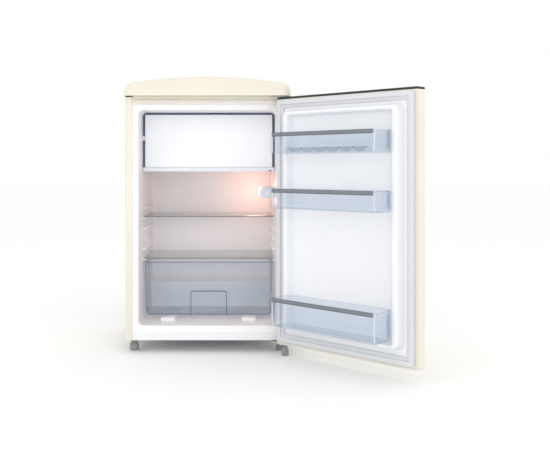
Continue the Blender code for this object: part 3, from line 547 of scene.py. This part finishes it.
# ---------------------------------------------------------------------------
# Shelves. Two plates of toughened glass with ground edges that lie on the
# liner's ribs and draw out over them.
# ---------------------------------------------------------------------------
def clear_sheet(name, tint, edge_tint, roughness=0.03, body=0.02, edge_body=0.8, gloss=0.35):
    """Clear pane: light goes straight through, a little tinted.

    Towards grazing angles the pane shows more of its edge tint and mirrors more of the room.
    """
    pane = Finish(name, edge_tint, roughness, IOR=1.46)
    nodes, links = pane.nodes, pane.links
    through = nodes.new("ShaderNodeBsdfTransparent")
    through.inputs["Color"].default_value = (*tint, 1)
    facing = nodes.new("ShaderNodeLayerWeight")
    facing.inputs["Blend"].default_value = 0.5
    solid = nodes.new("ShaderNodeMixShader")
    links.new(pane.spread(facing.outputs["Facing"], body, edge_body, 0.6, 1.0), solid.inputs[0])
    links.new(through.outputs[0], solid.inputs[1])
    links.new(pane.shader.outputs[0], solid.inputs[2])
    shine = nodes.new("ShaderNodeBsdfGlossy")
    shine.inputs["Roughness"].default_value = roughness
    mirrored = nodes.new("ShaderNodeMixShader")
    links.new(pane.spread(facing.outputs["Facing"], 0.03, gloss, 0.35, 1.0), mirrored.inputs[0])
    links.new(solid.outputs[0], mirrored.inputs[1])
    links.new(shine.outputs[0], mirrored.inputs[2])
    links.new(mirrored.outputs[0], nodes["Material Output"].inputs["Surface"])
    pane.raised(pane.noise(40, 1.0), 0.0001, 0.15)
    links.new(pane.height, shine.inputs["Normal"])
    return pane.material


shelf_glass = clear_sheet("shelf_glass", (0.95, 0.97, 0.965), (0.36, 0.42, 0.40), 0.02, 0.02, 0.5, 0.5)
ground_edge = Finish("ground_glass_edge", (0.16, 0.18, 0.17), 0.25, Specular_IOR_Level=0.6)
ground_edge.tint(ground_edge.noise(400), (0.24, 0.27, 0.26))
ground_edge = ground_edge.material
SHELF_THICK = 4 * MM
for name, top in (("upper_shelf", 450 * MM), ("lower_shelf", 305 * MM)):
    pane = slab((-226 * MM, 124 * MM, top - SHELF_THICK), (226 * MM, 407 * MM, top), "z", 6 * MM, 0.6 * MM)
    piece(name + "_pane", [pane], shelf_glass, name, (name,))
    edge = slab((-225.5 * MM, 122 * MM, top - SHELF_THICK), (225.5 * MM, 123.8 * MM, top), "x",
                0.8 * MM, 0.5 * MM)
    piece(name + "_front_edge", [edge], ground_edge, name)

# ---------------------------------------------------------------------------
# Crisper drawer. A clear tub moulded with a turned rim, round bottom corners
# and a finger recess in the foot of its front; it stands on the floor pads.
# ---------------------------------------------------------------------------
drawer_clear = clear_sheet("drawer_clear", (0.92, 0.945, 0.965), (0.22, 0.30, 0.42), 0.05, 0.02, 0.8)
DRAWER_FRONT = 122 * MM
DRAWER_REAR = 316 * MM
DRAWER_HALF = 218 * MM
DRAWER_FLARE = 4.5 * MM
RECESS_HALF = 62 * MM
RECESS_TOP = 188 * MM
RECESS_DEPTH = 22 * MM
RECESS_CORNER = 7 * MM


def drawer_ring(inset, height, depth=0.0, half=RECESS_HALF):
    """Round-cornered plan of the drawer at a height, its front stepped back by a depth from -half to half.

    The plan moves out with height by the flare and in by the inset. The front lies before its last corner.
    """
    out = DRAWER_FLARE * np.clip((height - 113 * MM) / (179 * MM), 0, 1) - inset
    front = DRAWER_FRONT - 0.3 * out
    plan = round_corners((-DRAWER_HALF - out, front), (DRAWER_HALF + out, DRAWER_REAR + out), 14 * MM, 8)
    step = np.array([[-half, front], [-half, front + depth], [half, front + depth], [half, front]])
    last_corner = len(plan) * 3 // 4
    outline = np.vstack([plan[:last_corner], step, plan[last_corner:]])
    return lay(outline[:, 0], outline[:, 1], height, "z")


# Rows of (inset, height) in millimetres: round foot of the walls, then the turned rim.
foot_rows = ((9, 104), (5, 104.6), (2, 106.8), (0.6, 110), (0, 114))
rim_rows = ((0, 286), (-0.5, 287), (-0.5, 291.4), (0, 292), (1.7, 292), (2.2, 291.6), (2.2, 287))
rows = [drawer_ring(inset * MM, height * MM, RECESS_DEPTH) for inset, height in foot_rows]
for turn in np.linspace(0, np.pi / 2, 7):
    rows.append(drawer_ring(0, RECESS_TOP - RECESS_CORNER * (1 - np.sin(turn)), RECESS_DEPTH,
                            RECESS_HALF - RECESS_CORNER * (1 - np.cos(turn))))
rows.append(drawer_ring(0, RECESS_TOP + 0.01 * MM, 0.0, RECESS_HALF - RECESS_CORNER))
rows += [drawer_ring(inset * MM, height * MM) for inset, height in rim_rows]
piece("crisper_tub", [skin(np.array(rows), ends=(True, False))], drawer_clear, "crisper_drawer",
      ("crisper_drawer",), 30)


def bead(path, radius, place, sides=8):
    """Round bead on the drawer's front: a circle carried along an upright (x, z) path at a depth."""
    rings = []
    for turn in np.linspace(0, 2 * np.pi, sides, endpoint=False):
        flat = offset_path(path, radius * np.cos(turn))
        rings.append(lay(flat[:, 0], flat[:, 1], place + radius * np.sin(turn), "y"))
    return skin(np.array(rings).transpose(1, 0, 2))


blue_edge = Finish("drawer_edge_blue", (0.07, 0.10, 0.22), 0.12, Coat_Weight=0.3)
blue_edge.tint(blue_edge.noise(150), (0.09, 0.12, 0.25))
blue_edge = blue_edge.material
BEAD_DEPTH = 121.4 * MM
recess_corners = np.array([[-62, 105.5], [-62, 188], [62, 188], [62, 105.5]]) * MM
recess_line = round_path(recess_corners, [RECESS_CORNER, RECESS_CORNER])
recess_foot = np.array([[-62, 106.5], [62, 106.5]]) * MM
recess_beads = [bead(recess_line, 1.3 * MM, BEAD_DEPTH), bead(recess_foot, 1.1 * MM, BEAD_DEPTH)]
piece("crisper_recess_edge", recess_beads, blue_edge, "crisper_drawer")
pale_edge = clear_sheet("drawer_edge_pale", (0.55, 0.63, 0.74), (0.30, 0.38, 0.52), 0.08, 0.5, 0.9, 0.6)
half_line = np.array([[62, 109.5], [216.5, 109.5], [220.5, 288.5], [0, 288.5]]) * MM
front_beads = [bead(round_path(half_line * [side, 1], [12 * MM, 6 * MM]), 1.0 * MM, 121.0 * MM, 6)
               for side in (-1, 1)]
piece("crisper_front_edge", front_beads, pale_edge, "crisper_drawer")

# ---------------------------------------------------------------------------
# Door. Drawn shut, then turned open about the two hinge pins: cream steel
# pan with round front corners, black end caps, foam, liner, seal and handle.
# ---------------------------------------------------------------------------
PIN = np.array([257 * MM, -35 * MM, 0.0])
DOOR_TURN = np.radians(134.0)
DOOR_HALF = 272 * MM
DOOR_BACK = -12 * MM
DOOR_FRONT = -64 * MM
PAN_LOW = 48.3 * MM
PAN_HIGH = 841.7 * MM
PAN_SHEET = 0.9 * MM
HEM_WIDTH = 8 * MM
CAP_EDGE = 1.2 * MM


def opened(shape):
    """Shape turned about the pins' line: x and y of each point rotate by the door's angle."""
    points, faces = shape
    cosine, sine = np.cos(DOOR_TURN), np.sin(DOOR_TURN)
    about = points - PIN
    turned_points = np.stack([cosine * about[:, 0] - sine * about[:, 1],
                              sine * about[:, 0] + cosine * about[:, 1], about[:, 2]], axis=-1)
    return turned_points + PIN, faces


def door_plan(inset=0.0, back=DOOR_BACK):
    """Open path round the door's plan, from one back edge to the other, with round front corners."""
    half, front = DOOR_HALF - inset, DOOR_FRONT + inset
    return round_path([[half, back], [half, front], [-half, front], [-half, back]],
                      [20 * MM - inset, 20 * MM - inset], 12)


def end_cap(low, high):
    """Cap of the door's plan between two heights, drawn in a little all round and along its rims."""
    rows = [(CAP_EDGE, low), (0, low + CAP_EDGE), (0, high - CAP_EDGE), (CAP_EDGE, high)]
    rings = [lay(*door_plan(0.3 * MM + drawn, DOOR_BACK - 0.3 * MM - drawn).T, height, "z")
             for drawn, height in rows]
    return skin(np.array(rings))


pan = folded_strip(door_plan(), -PAN_SHEET)
hem_rows = [(0, DOOR_BACK - 0.1 * MM), (0, DOOR_BACK - 1.2 * MM), (HEM_WIDTH, DOOR_BACK - 1.2 * MM),
            (HEM_WIDTH, DOOR_BACK - 0.1 * MM)]
hem = nested((-DOOR_HALF, PAN_LOW), (DOOR_HALF, PAN_HIGH), 1 * MM, hem_rows, "y", 2)
piece("door_pan", [opened(pushed(pan, PAN_LOW, PAN_HIGH)), opened(skin(hem, loop=True))],
      cream_enamel("cream_door", roughness=0.18), "door", ("door_skin",), 40)


def black_plastic(name, colour=(0.022, 0.022, 0.024)):
    """Dark moulded plastic with a fine spark-eroded grain."""
    plastic = Finish(name, colour, 0.42)
    plastic.worn(plastic.noise(80), 0.34, 0.52)
    plastic.raised(plastic.noise(1100), 0.00006, 0.5)
    return plastic.material


cap_black = black_plastic("cap_black")
piece("door_cap_top", [opened(end_cap(842 * MM, 849 * MM))], cap_black, "door", ("door_top_cap",))
cap_cream = cream_enamel("cream_cap_bottom", (0.82, 0.80, 0.70))
piece("door_cap_bottom", [opened(end_cap(41 * MM, 48 * MM))], cap_cream, "door", ("door_bottom_cap",))

# ---------------------------------------------------------------------------
# Door liner. One white sheet drawn with a flat margin and a raised wall all
# round, which reaches into the cabinet and carries the bins.
# ---------------------------------------------------------------------------
WALL_HALF = 226 * MM
WALL_LOW = 95 * MM
WALL_HIGH = 803 * MM
MARGIN_HALF = 265 * MM
MARGIN_LOW = 50 * MM
MARGIN_HIGH = 840 * MM


def liner_ring(across, up, down, depth, radius):
    """Round-cornered ring: the wall's outline drawn in at the sides, top and bottom, at a depth (all mm)."""
    low = (-WALL_HALF + across * MM, WALL_LOW + down * MM)
    high = (WALL_HALF - across * MM, WALL_HIGH - up * MM)
    outline = round_corners(low, high, radius * MM, 8)
    return lay(outline[:, 0], outline[:, 1], DOOR_BACK + depth * MM, "y")


def liner_rings(thickness):
    """Rings from the margin's rim to the raised wall, over its rounded top and down to the door's back."""
    turns = np.linspace(0, np.pi / 2, 6)
    margin = round_corners((-MARGIN_HALF, MARGIN_LOW), (MARGIN_HALF, MARGIN_HIGH), 3 * MM, 8)
    rings = [lay(margin[:, 0], margin[:, 1], DOOR_BACK - 0.9 * MM, "y")]
    outside = ((-3, -3, -3, -1.0, 22), (-1, -1, -1, -0.3, 22), (0, 0, 0, 2, 21), (1.5, 1.5, 1.5, 10, 20),
               (4, 4, 4, 23, 19))
    rings += [liner_ring(*row) for row in outside]
    for turn in turns[1:]:
        over = 1 - np.cos(turn)
        rings.append(liner_ring(4 + 7 * over, 4 + 7 * over, 4 + 5 * over, 23 + 7 * np.sin(turn), 16))
    for turn in turns:
        over = np.sin(turn)
        rings.append(liner_ring(17 + 6 * over, 12 + 5 * over, 10 + 4 * over, 24 + 6 * np.cos(turn), 9))
    inside = ((24, 18.5, 15, 12, 7), (26, 20, 17, 4, 7), (30, 23, 20, 1.6, 6))
    rings += [liner_ring(*row) for row in inside]
    return np.array(rings) - [0, thickness, 0]


door_white = white_plastic("door_white", (0.87, 0.88, 0.905), 0.3)
liner_shell = skin(np.concatenate([liner_rings(0.0)[::-1], liner_rings(0.8 * MM)]))
piece("door_inner_shell", [opened(liner_shell)], door_white, "door", ("door_liner",), 40)

# ---------------------------------------------------------------------------
# Door seal. A soft white magnetic frame pushed into the liner's margin, with
# a hollow bead, a flat face towards the cabinet and mitred corners.
# ---------------------------------------------------------------------------
seal_profile = [(0, -10.9), (0.2, -8.5), (2.0, -7.8), (2.4, -6.8), (0.8, -6.0), (0.4, -3.0), (1.4, -0.9),
                (3.0, -0.6), (13, -0.6), (14.6, -1.0), (15.4, -3.0), (15.0, -6.0), (16.5, -7.4), (19, -8.0),
                (23, -8.2), (25, -9.2), (25.5, -10.9)]
seal_rings = nested((-264 * MM, 51 * MM), (264 * MM, 839 * MM), 8 * MM, np.array(seal_profile) * MM, "y", 5)
rubber = Finish("seal_white", (0.70, 0.71, 0.73), 0.55)
rubber.tint(rubber.noise(30), (0.67, 0.68, 0.70))
rubber.raised(rubber.noise(700), 0.00005, 0.4)
piece("door_seal", [opened(skin(seal_rings, loop=True))], rubber.material, "door", ("door_gasket",), 40)

# ---------------------------------------------------------------------------
# Door handle. A polished bar with rounded ends on two turned posts, screwed
# through the pan near the free edge.
# ---------------------------------------------------------------------------
chrome = Finish("handle_chrome", (0.82, 0.82, 0.84), 0.07, Metallic=1.0)
chrome.worn(chrome.noise(50), 0.05, 0.11)
chrome.raised(chrome.noise(800), 0.00002, 0.15)
chrome = chrome.material
HANDLE_X = -215 * MM
HANDLE_MIDDLE = 630 * MM
POST_REACH = 70 * MM
POST = np.array([(0.1, 0), (6, 0), (6, 16), (7, 19), (9, 20), (9, 21.6), (0.1, 21.7)]) * MM
for name, reach in (("handle_post_upper", POST_REACH), ("handle_post_lower", -POST_REACH)):
    post = turned((HANDLE_X, DOOR_FRONT - 22 * MM, HANDLE_MIDDLE + reach), "y", POST)
    piece(name + "_turned", [opened(post)], chrome, "door", (name,))
share = np.linspace(-1, 1, 41)
swell = np.sqrt(np.clip(1 - np.abs(share) ** 12, 0, 1))
round_turn = np.linspace(0, 2 * np.pi, 32, endpoint=False)
bar_rings = lay(HANDLE_X + (10 * MM * swell + 0.4 * MM)[:, None] * np.cos(round_turn),
                DOOR_FRONT - 29.5 * MM + (6.2 * MM * swell + 0.3 * MM)[:, None] * np.sin(round_turn),
                (HANDLE_MIDDLE + 100 * MM * share)[:, None], "z")
piece("handle_bar", [opened(skin(bar_rings))], chrome, "door", ("door_handle",), 60)

# ---------------------------------------------------------------------------
# Door bins. Clear trays hooked on the liner's raised wall, wide in front of
# it and narrower between its sides. A satin grey strip is clipped along the top of each front; dark
# strips at its top and bottom are painted shade of its rounded edges, and a whitish strip in each
# front corner is a painted highlight.
# ---------------------------------------------------------------------------
BINS = {"upper": (661, 728), "middle": (490.5, 552.5), "lower": (121, 210)}
BIN_HALF = 204.5 * MM
BIN_FRONT = 94.5 * MM
BIN_SHOULDER = 19 * MM
TONGUE_HALF = 190 * MM
TONGUE_BACK = -2 * MM
RAIL_HALF = 195 * MM
RAIL_TALL = 12.5
CORNER_HIGHLIGHT_PLACE = 196.8 * MM
CORNER_HIGHLIGHT_HALF = 2.6 * MM
bin_clear = clear_sheet("bin_clear", (0.935, 0.955, 0.98), (0.30, 0.42, 0.58), 0.04, 0.025, 0.75)


def tray_path(inset):
    """Plan of a bin as a closed path: tongue at the back, shoulders, wide front with round corners."""
    wide = BIN_HALF - inset
    narrow = TONGUE_HALF - inset
    back = TONGUE_BACK + inset
    shoulder = BIN_SHOULDER + inset
    front = BIN_FRONT - inset
    corner = 10 * MM - inset
    corners = [[0, back], [narrow, back], [narrow, shoulder], [wide, shoulder], [wide, front], [-wide, front],
               [-wide, shoulder], [-narrow, shoulder], [-narrow, back], [0, back]]
    radii = [6 * MM, 3 * MM, 3 * MM, corner, corner, 3 * MM, 3 * MM, 6 * MM]
    return round_path(corners, radii, 6)[1:-1]


def tray(low, high, wall=2.0):
    """Open tray: a floor, then rings that climb the wall and turn over the rim's thickness (all mm)."""
    rows = [(4, low), (1.2, low + 0.9), (0, low + 4), (0, high - 0.4), (0.5, high), (wall - 0.5, high),
            (wall, high - 0.4), (wall, high - 4)]
    rings = [lay(*tray_path(inset * MM).T, height * MM, "z") for inset, height in rows]
    return skin(np.array(rings), ends=(True, False))


satin = Finish("rail_satin", (0.21, 0.235, 0.26), 0.34, Metallic=0.5)
brushing = satin.noise(900, 3.0, satin.stretched((0.03, 0.03, 1)))
satin.worn(brushing, 0.24, 0.4)
satin.raised(brushing, 0.00003, 0.5)
satin = satin.material
hook_blue = clear_sheet("hook_blue", (0.90, 0.93, 0.97), (0.35, 0.50, 0.68), 0.05, 0.06, 0.9)
rail_edge_shade_grey = white_plastic("rail_edge_shade_grey", (0.11, 0.12, 0.135), 0.3)
corner_painted_highlight = clear_sheet("corner_painted_highlight", (0.97, 0.98, 0.99), (0.93, 0.95, 0.98), 0.1, 0.55, 0.9)
for place, (low, high) in BINS.items():
    body = f"{place}_bin"
    piece(body + "_tray", [opened(tray(low, high - 0.6))], bin_clear, body, (body,), 30)
    strip = slab((-RAIL_HALF, 91.8 * MM, (high - RAIL_TALL) * MM), (RAIL_HALF, 95.2 * MM, high * MM), "y",
                 1.2 * MM, 1.0 * MM)
    piece(f"{place}_rail_strip", [opened(strip)], satin, body, (f"{place}_rail",))
    rib = slab((-202.2 * MM, 24 * MM, (low + 12) * MM), (-200.6 * MM, 38 * MM, (high - 8) * MM), "x",
               3 * MM, 0.5 * MM)
    piece(f"{place}_bin_rib", [opened(rib)], hook_blue, body)
    # Painted shade: dark strips along the rail's top and bottom stand for the shade on its rounded edges.
    rail_shade_strips = [slab((-RAIL_HALF, 91.7 * MM, bottom * MM), (RAIL_HALF, 95.3 * MM, (bottom + tall) * MM), "y",
                 0.4 * MM, 0.3 * MM) for bottom, tall in ((high - 12.6, 2.6), (high - 1.1, 1.2))]
    piece(f"{place}_rail_edge_shade", [opened(lip) for lip in rail_shade_strips], rail_edge_shade_grey, body)
    # Painted highlight: a whitish strip in each front corner stands for the white reflection on the clear
    # corner.
    corners = [slab((middle - CORNER_HIGHLIGHT_HALF, 89.3 * MM, (low + 4) * MM),
                    (middle + CORNER_HIGHLIGHT_HALF, 90.9 * MM, (high - 1) * MM), "y", 1.2 * MM, 0.5 * MM)
               for middle in (-CORNER_HIGHLIGHT_PLACE, CORNER_HIGHLIGHT_PLACE)]
    piece(f"{place}_bin_corner_highlights", [opened(corner) for corner in corners], corner_painted_highlight, body)

# ---------------------------------------------------------------------------
# Egg tray. A clear insert with a row of round cups that lies in the upper bin.
# ---------------------------------------------------------------------------
EGG_LOW = 663.3 * MM
egg_clear = clear_sheet("egg_clear", (0.95, 0.965, 0.98), (0.45, 0.52, 0.62), 0.05, 0.02, 0.5)


def cup_plate(low, high, cups, radius, depth, columns=150, rows=26):
    """Height field and a skirt: top - depth * sqrt(1 - (distance to the nearest cup / radius)^2)."""
    x = np.linspace(low[0], high[0], columns)[None, :]
    y = np.linspace(low[1], high[1], rows)[:, None]
    away = np.min([np.hypot(x - cup[0], y - cup[1]) for cup in cups], axis=0) / radius
    top = high[2] - depth * np.sqrt(np.clip(1 - away ** 2, 0, 1))
    upper = lay(*np.broadcast_arrays(x, y), top, "z").reshape(-1, 3)
    number = np.arange(rows * columns).reshape(rows, columns)
    faces = np.stack([number[:-1, :-1], number[:-1, 1:], number[1:, 1:], number[1:, :-1]], -1).reshape(-1, 4)
    rim = np.concatenate([number[0], number[1:, -1], number[-1, -2::-1], number[-2:0:-1, 0]])
    foot = upper[rim] * [1, 1, 0] + [0, 0, low[2]]
    below = rows * columns + np.arange(len(rim))
    around = np.stack([rim, below, np.roll(below, -1), np.roll(rim, -1)], -1)
    return np.vstack([upper, foot]), np.vstack([faces, around]).tolist()


CUP_PITCH = 50 * MM
cups = [((number - 2.5) * CUP_PITCH, 63 * MM) for number in range(6)]
egg_plate = cup_plate((-150 * MM, 39 * MM, EGG_LOW), (150 * MM, 87 * MM, EGG_LOW + 17 * MM), cups,
                      20 * MM, 14.5 * MM)
piece("egg_cups", [opened(egg_plate)], egg_clear, "egg_tray", ("egg_tray",), 60)

# ---------------------------------------------------------------------------
# Feet. Grey moulded levelling feet with a ribbed grip, screwed into the base;
# a smaller one carries the lower hinge pin.
# ---------------------------------------------------------------------------
foot_grey = Finish("foot_grey", (0.25, 0.25, 0.235), 0.45)
foot_grey.tint(foot_grey.noise(120), (0.30, 0.30, 0.285))
foot_grey.raised(foot_grey.noise(700), 0.0001, 0.4)
foot_grey = foot_grey.material


def foot(x, y, radius, top):
    """Foot: circles with a cosine ripple on the grip, from the floor up to the neck."""
    turn = np.linspace(0, 2 * np.pi, 96, endpoint=False)
    rows = [(0.02, 0), (radius - 2.2, 0), (radius - 0.7, 0.7), (radius, 2.2), (radius - 0.2, 16),
            (radius - 0.8, 21), (radius - 2.4, 25), (radius - 3.6, 26), (radius - 4.6, 27),
            (radius - 4.8, top), (0.02, top)]
    rings = []
    for size, height in rows:
        ripple = 1 + 0.018 * np.cos(24 * turn) if 2 < height < 22 else 1
        across = x * MM + size * MM * np.cos(turn) * ripple
        along = y * MM + size * MM * np.sin(turn) * ripple
        rings.append(lay(across, along, height * MM, "z"))
    return skin(np.array(rings))


FEET = {"foot_front_left": (-250, 50), "foot_front_right": (247, 52), "foot_rear_left": (-250, 440),
        "foot_rear_right": (250, 440)}
for name, (x, y) in FEET.items():
    body = name if "front" in name else "cabinet"
    piece(name + "_moulding", [foot(x, y, 15.3, 41.6)], foot_grey, body, (name,))
piece("hinge_foot_moulding", [foot(257, -35, 11.8, 31.4)], foot_grey, "hinge_foot", ("hinge_foot",))

# ---------------------------------------------------------------------------
# Hidden and plain parts: plated sheets and hinge plates, foam, bushes, and
# the machine space with its compressor, tray, coil and spacers.
# ---------------------------------------------------------------------------
def plated(name, colour=(0.60, 0.61, 0.63)):
    """Zinc-plated sheet: pale spangle cells and a faint grain."""
    metal = Finish(name, colour, 0.38, Metallic=1.0)
    metal.tint(metal.cells(70), (0.70, 0.71, 0.73), 0.1, 0.6)
    metal.worn(metal.noise(45), 0.3, 0.5)
    metal.raised(metal.noise(500), 0.00004, 0.3)
    return metal.material


def black_paint(name):
    """Semi-gloss black stove paint with slight runs in it."""
    paint = Finish(name, (0.018, 0.018, 0.02), 0.3, Coat_Weight=0.2)
    paint.worn(paint.noise(40), 0.24, 0.42)
    paint.raised(paint.noise(260), 0.0001, 0.3)
    return paint.material


def foam(name):
    """Rigid yellow foam with open cells."""
    stuff = Finish(name, (0.78, 0.68, 0.42), 0.95)
    stuff.tint(stuff.noise(60), (0.70, 0.58, 0.33))
    stuff.raised(stuff.cells(450), 0.0004, 0.8)
    return stuff.material


paint_black = black_paint("black_stove_paint")
CAD_LOOKS = {
    plated("plated_sheet"): ("back_panel", "top_panel", "base_panel", "compressor_plate", "upper_hinge",
                             "lower_hinge", "upper_pin", "lower_pin"),
    foam("rigid_foam"): ("insulation", "door_insulation"),
    white_plastic("bush_white"): ("door_bush_lower", "door_bush_upper"),
    black_plastic("machine_black"): ("terminal_box", "evaporation_tray", "power_inlet", "rear_spacer_left",
                                     "rear_spacer_right"),
    paint_black: ("condenser_bracket_left", "condenser_bracket_right")}
for look, nodes in CAD_LOOKS.items():
    for node in nodes:
        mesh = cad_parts[node].data
        mesh.materials.clear()
        mesh.materials.append(look)

SHELL = np.array([(0.1, 44.3), (34, 44.3), (50, 52), (57, 60), (60.2, 70), (61, 84), (61, 97.6), (63, 98),
                  (63, 101), (61, 101.4), (61, 112), (59, 122), (54, 131), (44, 138), (28, 142), (12, 143),
                  (0.1, 143)]) * MM
shell = turned((120 * MM, 412 * MM, 0), "z", SHELL, 64)
piece("compressor_shell", [shell], paint_black, "cabinet", ("compressor",), 40)


def pipe(path, radius, sides=10):
    """Round tube: a circle carried along a path that lies in a plane square to the y axis."""
    path = np.asarray(path, float)
    step = np.gradient(path, axis=0)
    step /= np.linalg.norm(step, axis=1, keepdims=True)
    normal = np.broadcast_to([0.0, 1.0, 0.0], path.shape)
    other = np.cross(step, normal)
    other /= np.linalg.norm(other, axis=1, keepdims=True)
    turn = np.linspace(0, 2 * np.pi, sides, endpoint=False)
    ring = normal[:, None] * np.cos(turn)[None, :, None] + other[:, None] * np.sin(turn)[None, :, None]
    return skin(path[:, None] + radius * ring)


COIL_Y = 496 * MM
COIL_LOW = 230 * MM
COIL_HIGH = 800 * MM
COIL_HALF = 205 * MM
COIL_ROWS = 12
WIRE_LOW = 216 * MM
WIRE_HIGH = 814 * MM
WIRE_STEP = 3.2 * MM
pitch = (COIL_HIGH - COIL_LOW) / (COIL_ROWS - 1)
coil_path = []
for row in range(COIL_ROWS):
    height = COIL_LOW + row * pitch
    side = 1 if row % 2 == 0 else -1
    coil_path.append(np.linspace([-side * COIL_HALF, COIL_Y, height], [side * COIL_HALF, COIL_Y, height], 3))
    if row < COIL_ROWS - 1:
        bend = np.linspace(0, np.pi, 12)[1:-1]
        coil_path.append(np.stack([side * (COIL_HALF + pitch / 2 * np.sin(bend)), np.full(len(bend), COIL_Y),
                                   height + pitch / 2 * (1 - np.cos(bend))], axis=-1))
wires = [pipe([[x, COIL_Y + step, WIRE_LOW], [x, COIL_Y + step, WIRE_HIGH]], 0.8 * MM, 6)
         for x in np.linspace(-195, 195, 40) * MM for step in (-WIRE_STEP, WIRE_STEP)]
coil = pipe(np.vstack(coil_path), 2.4 * MM)
piece("condenser", [coil] + wires, paint_black, "cabinet", ("condenser_coil",), 60)

# ---------------------------------------------------------------------------
# Screws. Zinc plated pan heads round the back panel and under the hinge, and
# the four rubber mounts that carry the compressor on its plate.
# ---------------------------------------------------------------------------
PAN_HEAD = np.array([(0.1, 0), (3.8, 0), (3.9, 0.7), (3.2, 1.8), (2.0, 2.2), (1.7, 2.2), (1.4, 1.1),
                     (0.1, 1.0)]) * MM
MOUNT = np.array([(0.1, 0), (9, 0), (9.5, 1), (9.5, 5), (7.5, 6.5), (7.5, 9), (9, 10.5), (9, 13), (8, 14),
                  (4, 14), (4, 17), (0.1, 17)]) * MM
back_places = [(across * MM, height * MM) for across in (-265, 265) for height in range(198, 850, 128)]
back_places += [(across * MM, 845 * MM) for across in (-132, 0, 132)]
under_places = [(224 * MM, 22 * MM), (258 * MM, 22 * MM), (224 * MM, -8 * MM)]
heads = [turned((across, SIDE_DEPTH, height), "y", PAN_HEAD, 20) for across, height in back_places]
heads += [turned((across, along, 36.7 * MM), "z", PAN_HEAD * [1, -1], 20) for across, along in under_places]
piece("screw_heads", heads, plated("screw_zinc", (0.66, 0.67, 0.69)), "cabinet")
mounts = [turned((across * MM, along * MM, 44 * MM), "z", MOUNT, 24) for across in (42, 198)
          for along in (364, 460)]
piece("compressor_mounts", mounts, black_plastic("mount_rubber", (0.03, 0.03, 0.03)), "cabinet")

# ---------------------------------------------------------------------------
# Room. Pale floor, soft light from large panels and from the cabinet's own
# lamp, with two small fill lights inside; camera at standing distance.
# ---------------------------------------------------------------------------
floor_mesh = bpy.data.meshes.new("studio_floor")
FLOOR_HALF = 30
floor_corners = [(-FLOOR_HALF, -FLOOR_HALF, 0), (FLOOR_HALF, -FLOOR_HALF, 0), (FLOOR_HALF, FLOOR_HALF, 0),
                 (-FLOOR_HALF, FLOOR_HALF, 0)]
floor_mesh.from_pydata(floor_corners, [], [(0, 1, 2, 3)])
floor = bpy.data.objects.new("studio_floor", floor_mesh)
bpy.context.scene.collection.objects.link(floor)
floor_look = Finish("studio_white", (0.99, 0.99, 0.99), 0.9)
floor_look.tint(floor_look.noise(0.5), (0.985, 0.985, 0.985))
floor_mesh.materials.append(floor_look.material)

world = bpy.data.worlds.new("studio")
world.use_nodes = True
room = world.node_tree.nodes["Background"]
room.inputs["Color"].default_value = (1.0, 1.0, 1.0, 1)
room.inputs["Strength"].default_value = 1.0
bpy.context.scene.world = world
bpy.context.scene.view_settings.view_transform = "Standard"


def panel_light(name, place, target, width, height, power, colour=(1, 1, 1)):
    """Soft rectangular light that faces its target, unseen itself; a small one isn't mirrored either."""
    data = bpy.data.lights.new(name, "AREA")
    data.shape = "RECTANGLE"
    data.size = width
    data.size_y = height
    data.energy = power
    data.color = colour
    lamp = bpy.data.objects.new(name, data)
    lamp.location = place
    lamp.rotation_euler = Vector(np.subtract(target, place)).to_track_quat("-Z", "Y").to_euler()
    lamp.visible_camera = False
    lamp.visible_glossy = max(width, height) > 1
    bpy.context.scene.collection.objects.link(lamp)


centre = tuple(CABINET_ORIGIN + [0.1, 0, 0.5])
panel_light("panel_front_left", (-2.2, -2.6, 2.4), centre, 2.2, 1.8, 5)
panel_light("panel_front_right", (2.0, -3.2, 1.6), centre, 1.6, 1.8, 6)
panel_light("panel_top", (0.0, -0.4, 3.2), centre, 2.5, 2.5, 2)
panel_light("panel_front", (0.0, -3.6, 0.9), centre, 2.6, 1.6, 15)
inside_light = bpy.data.lights.new("cabinet_lamp", "POINT")
inside_light.energy = 0.42
inside_light.color = (1.0, 0.50, 0.34)
inside_light.shadow_soft_size = 0.05
inside_lamp = bpy.data.objects.new("cabinet_lamp", inside_light)
inside_lamp.location = tuple(CABINET_ORIGIN + [0.165, 0.30, 0.53])
bpy.context.scene.collection.objects.link(inside_lamp)
for name, level, power in (("middle", 0.438, 0.12), ("lower", 0.298, 0.03)):
    above = tuple(CABINET_ORIGIN + [0.0, 0.24, level])
    below = tuple(CABINET_ORIGIN + [0.0, 0.2401, 0.0])
    panel_light(f"inside_fill_{name}", above, below, 0.38, 0.2, power, (1.0, 0.88, 0.90))

camera_data = bpy.data.cameras.new("camera")
camera_data.sensor_width = 36
camera_data.lens = 55.18
camera_data.shift_x = 0.0707
camera_data.shift_y = -0.1047
camera_data.clip_end = 100
camera = bpy.data.objects.new("camera", camera_data)
camera.location = tuple(CABINET_ORIGIN + [0.0954, -2.8135, 0.619])
camera.rotation_euler = (np.pi / 2, 0, 0)
bpy.context.scene.collection.objects.link(camera)
bpy.context.scene.camera = camera
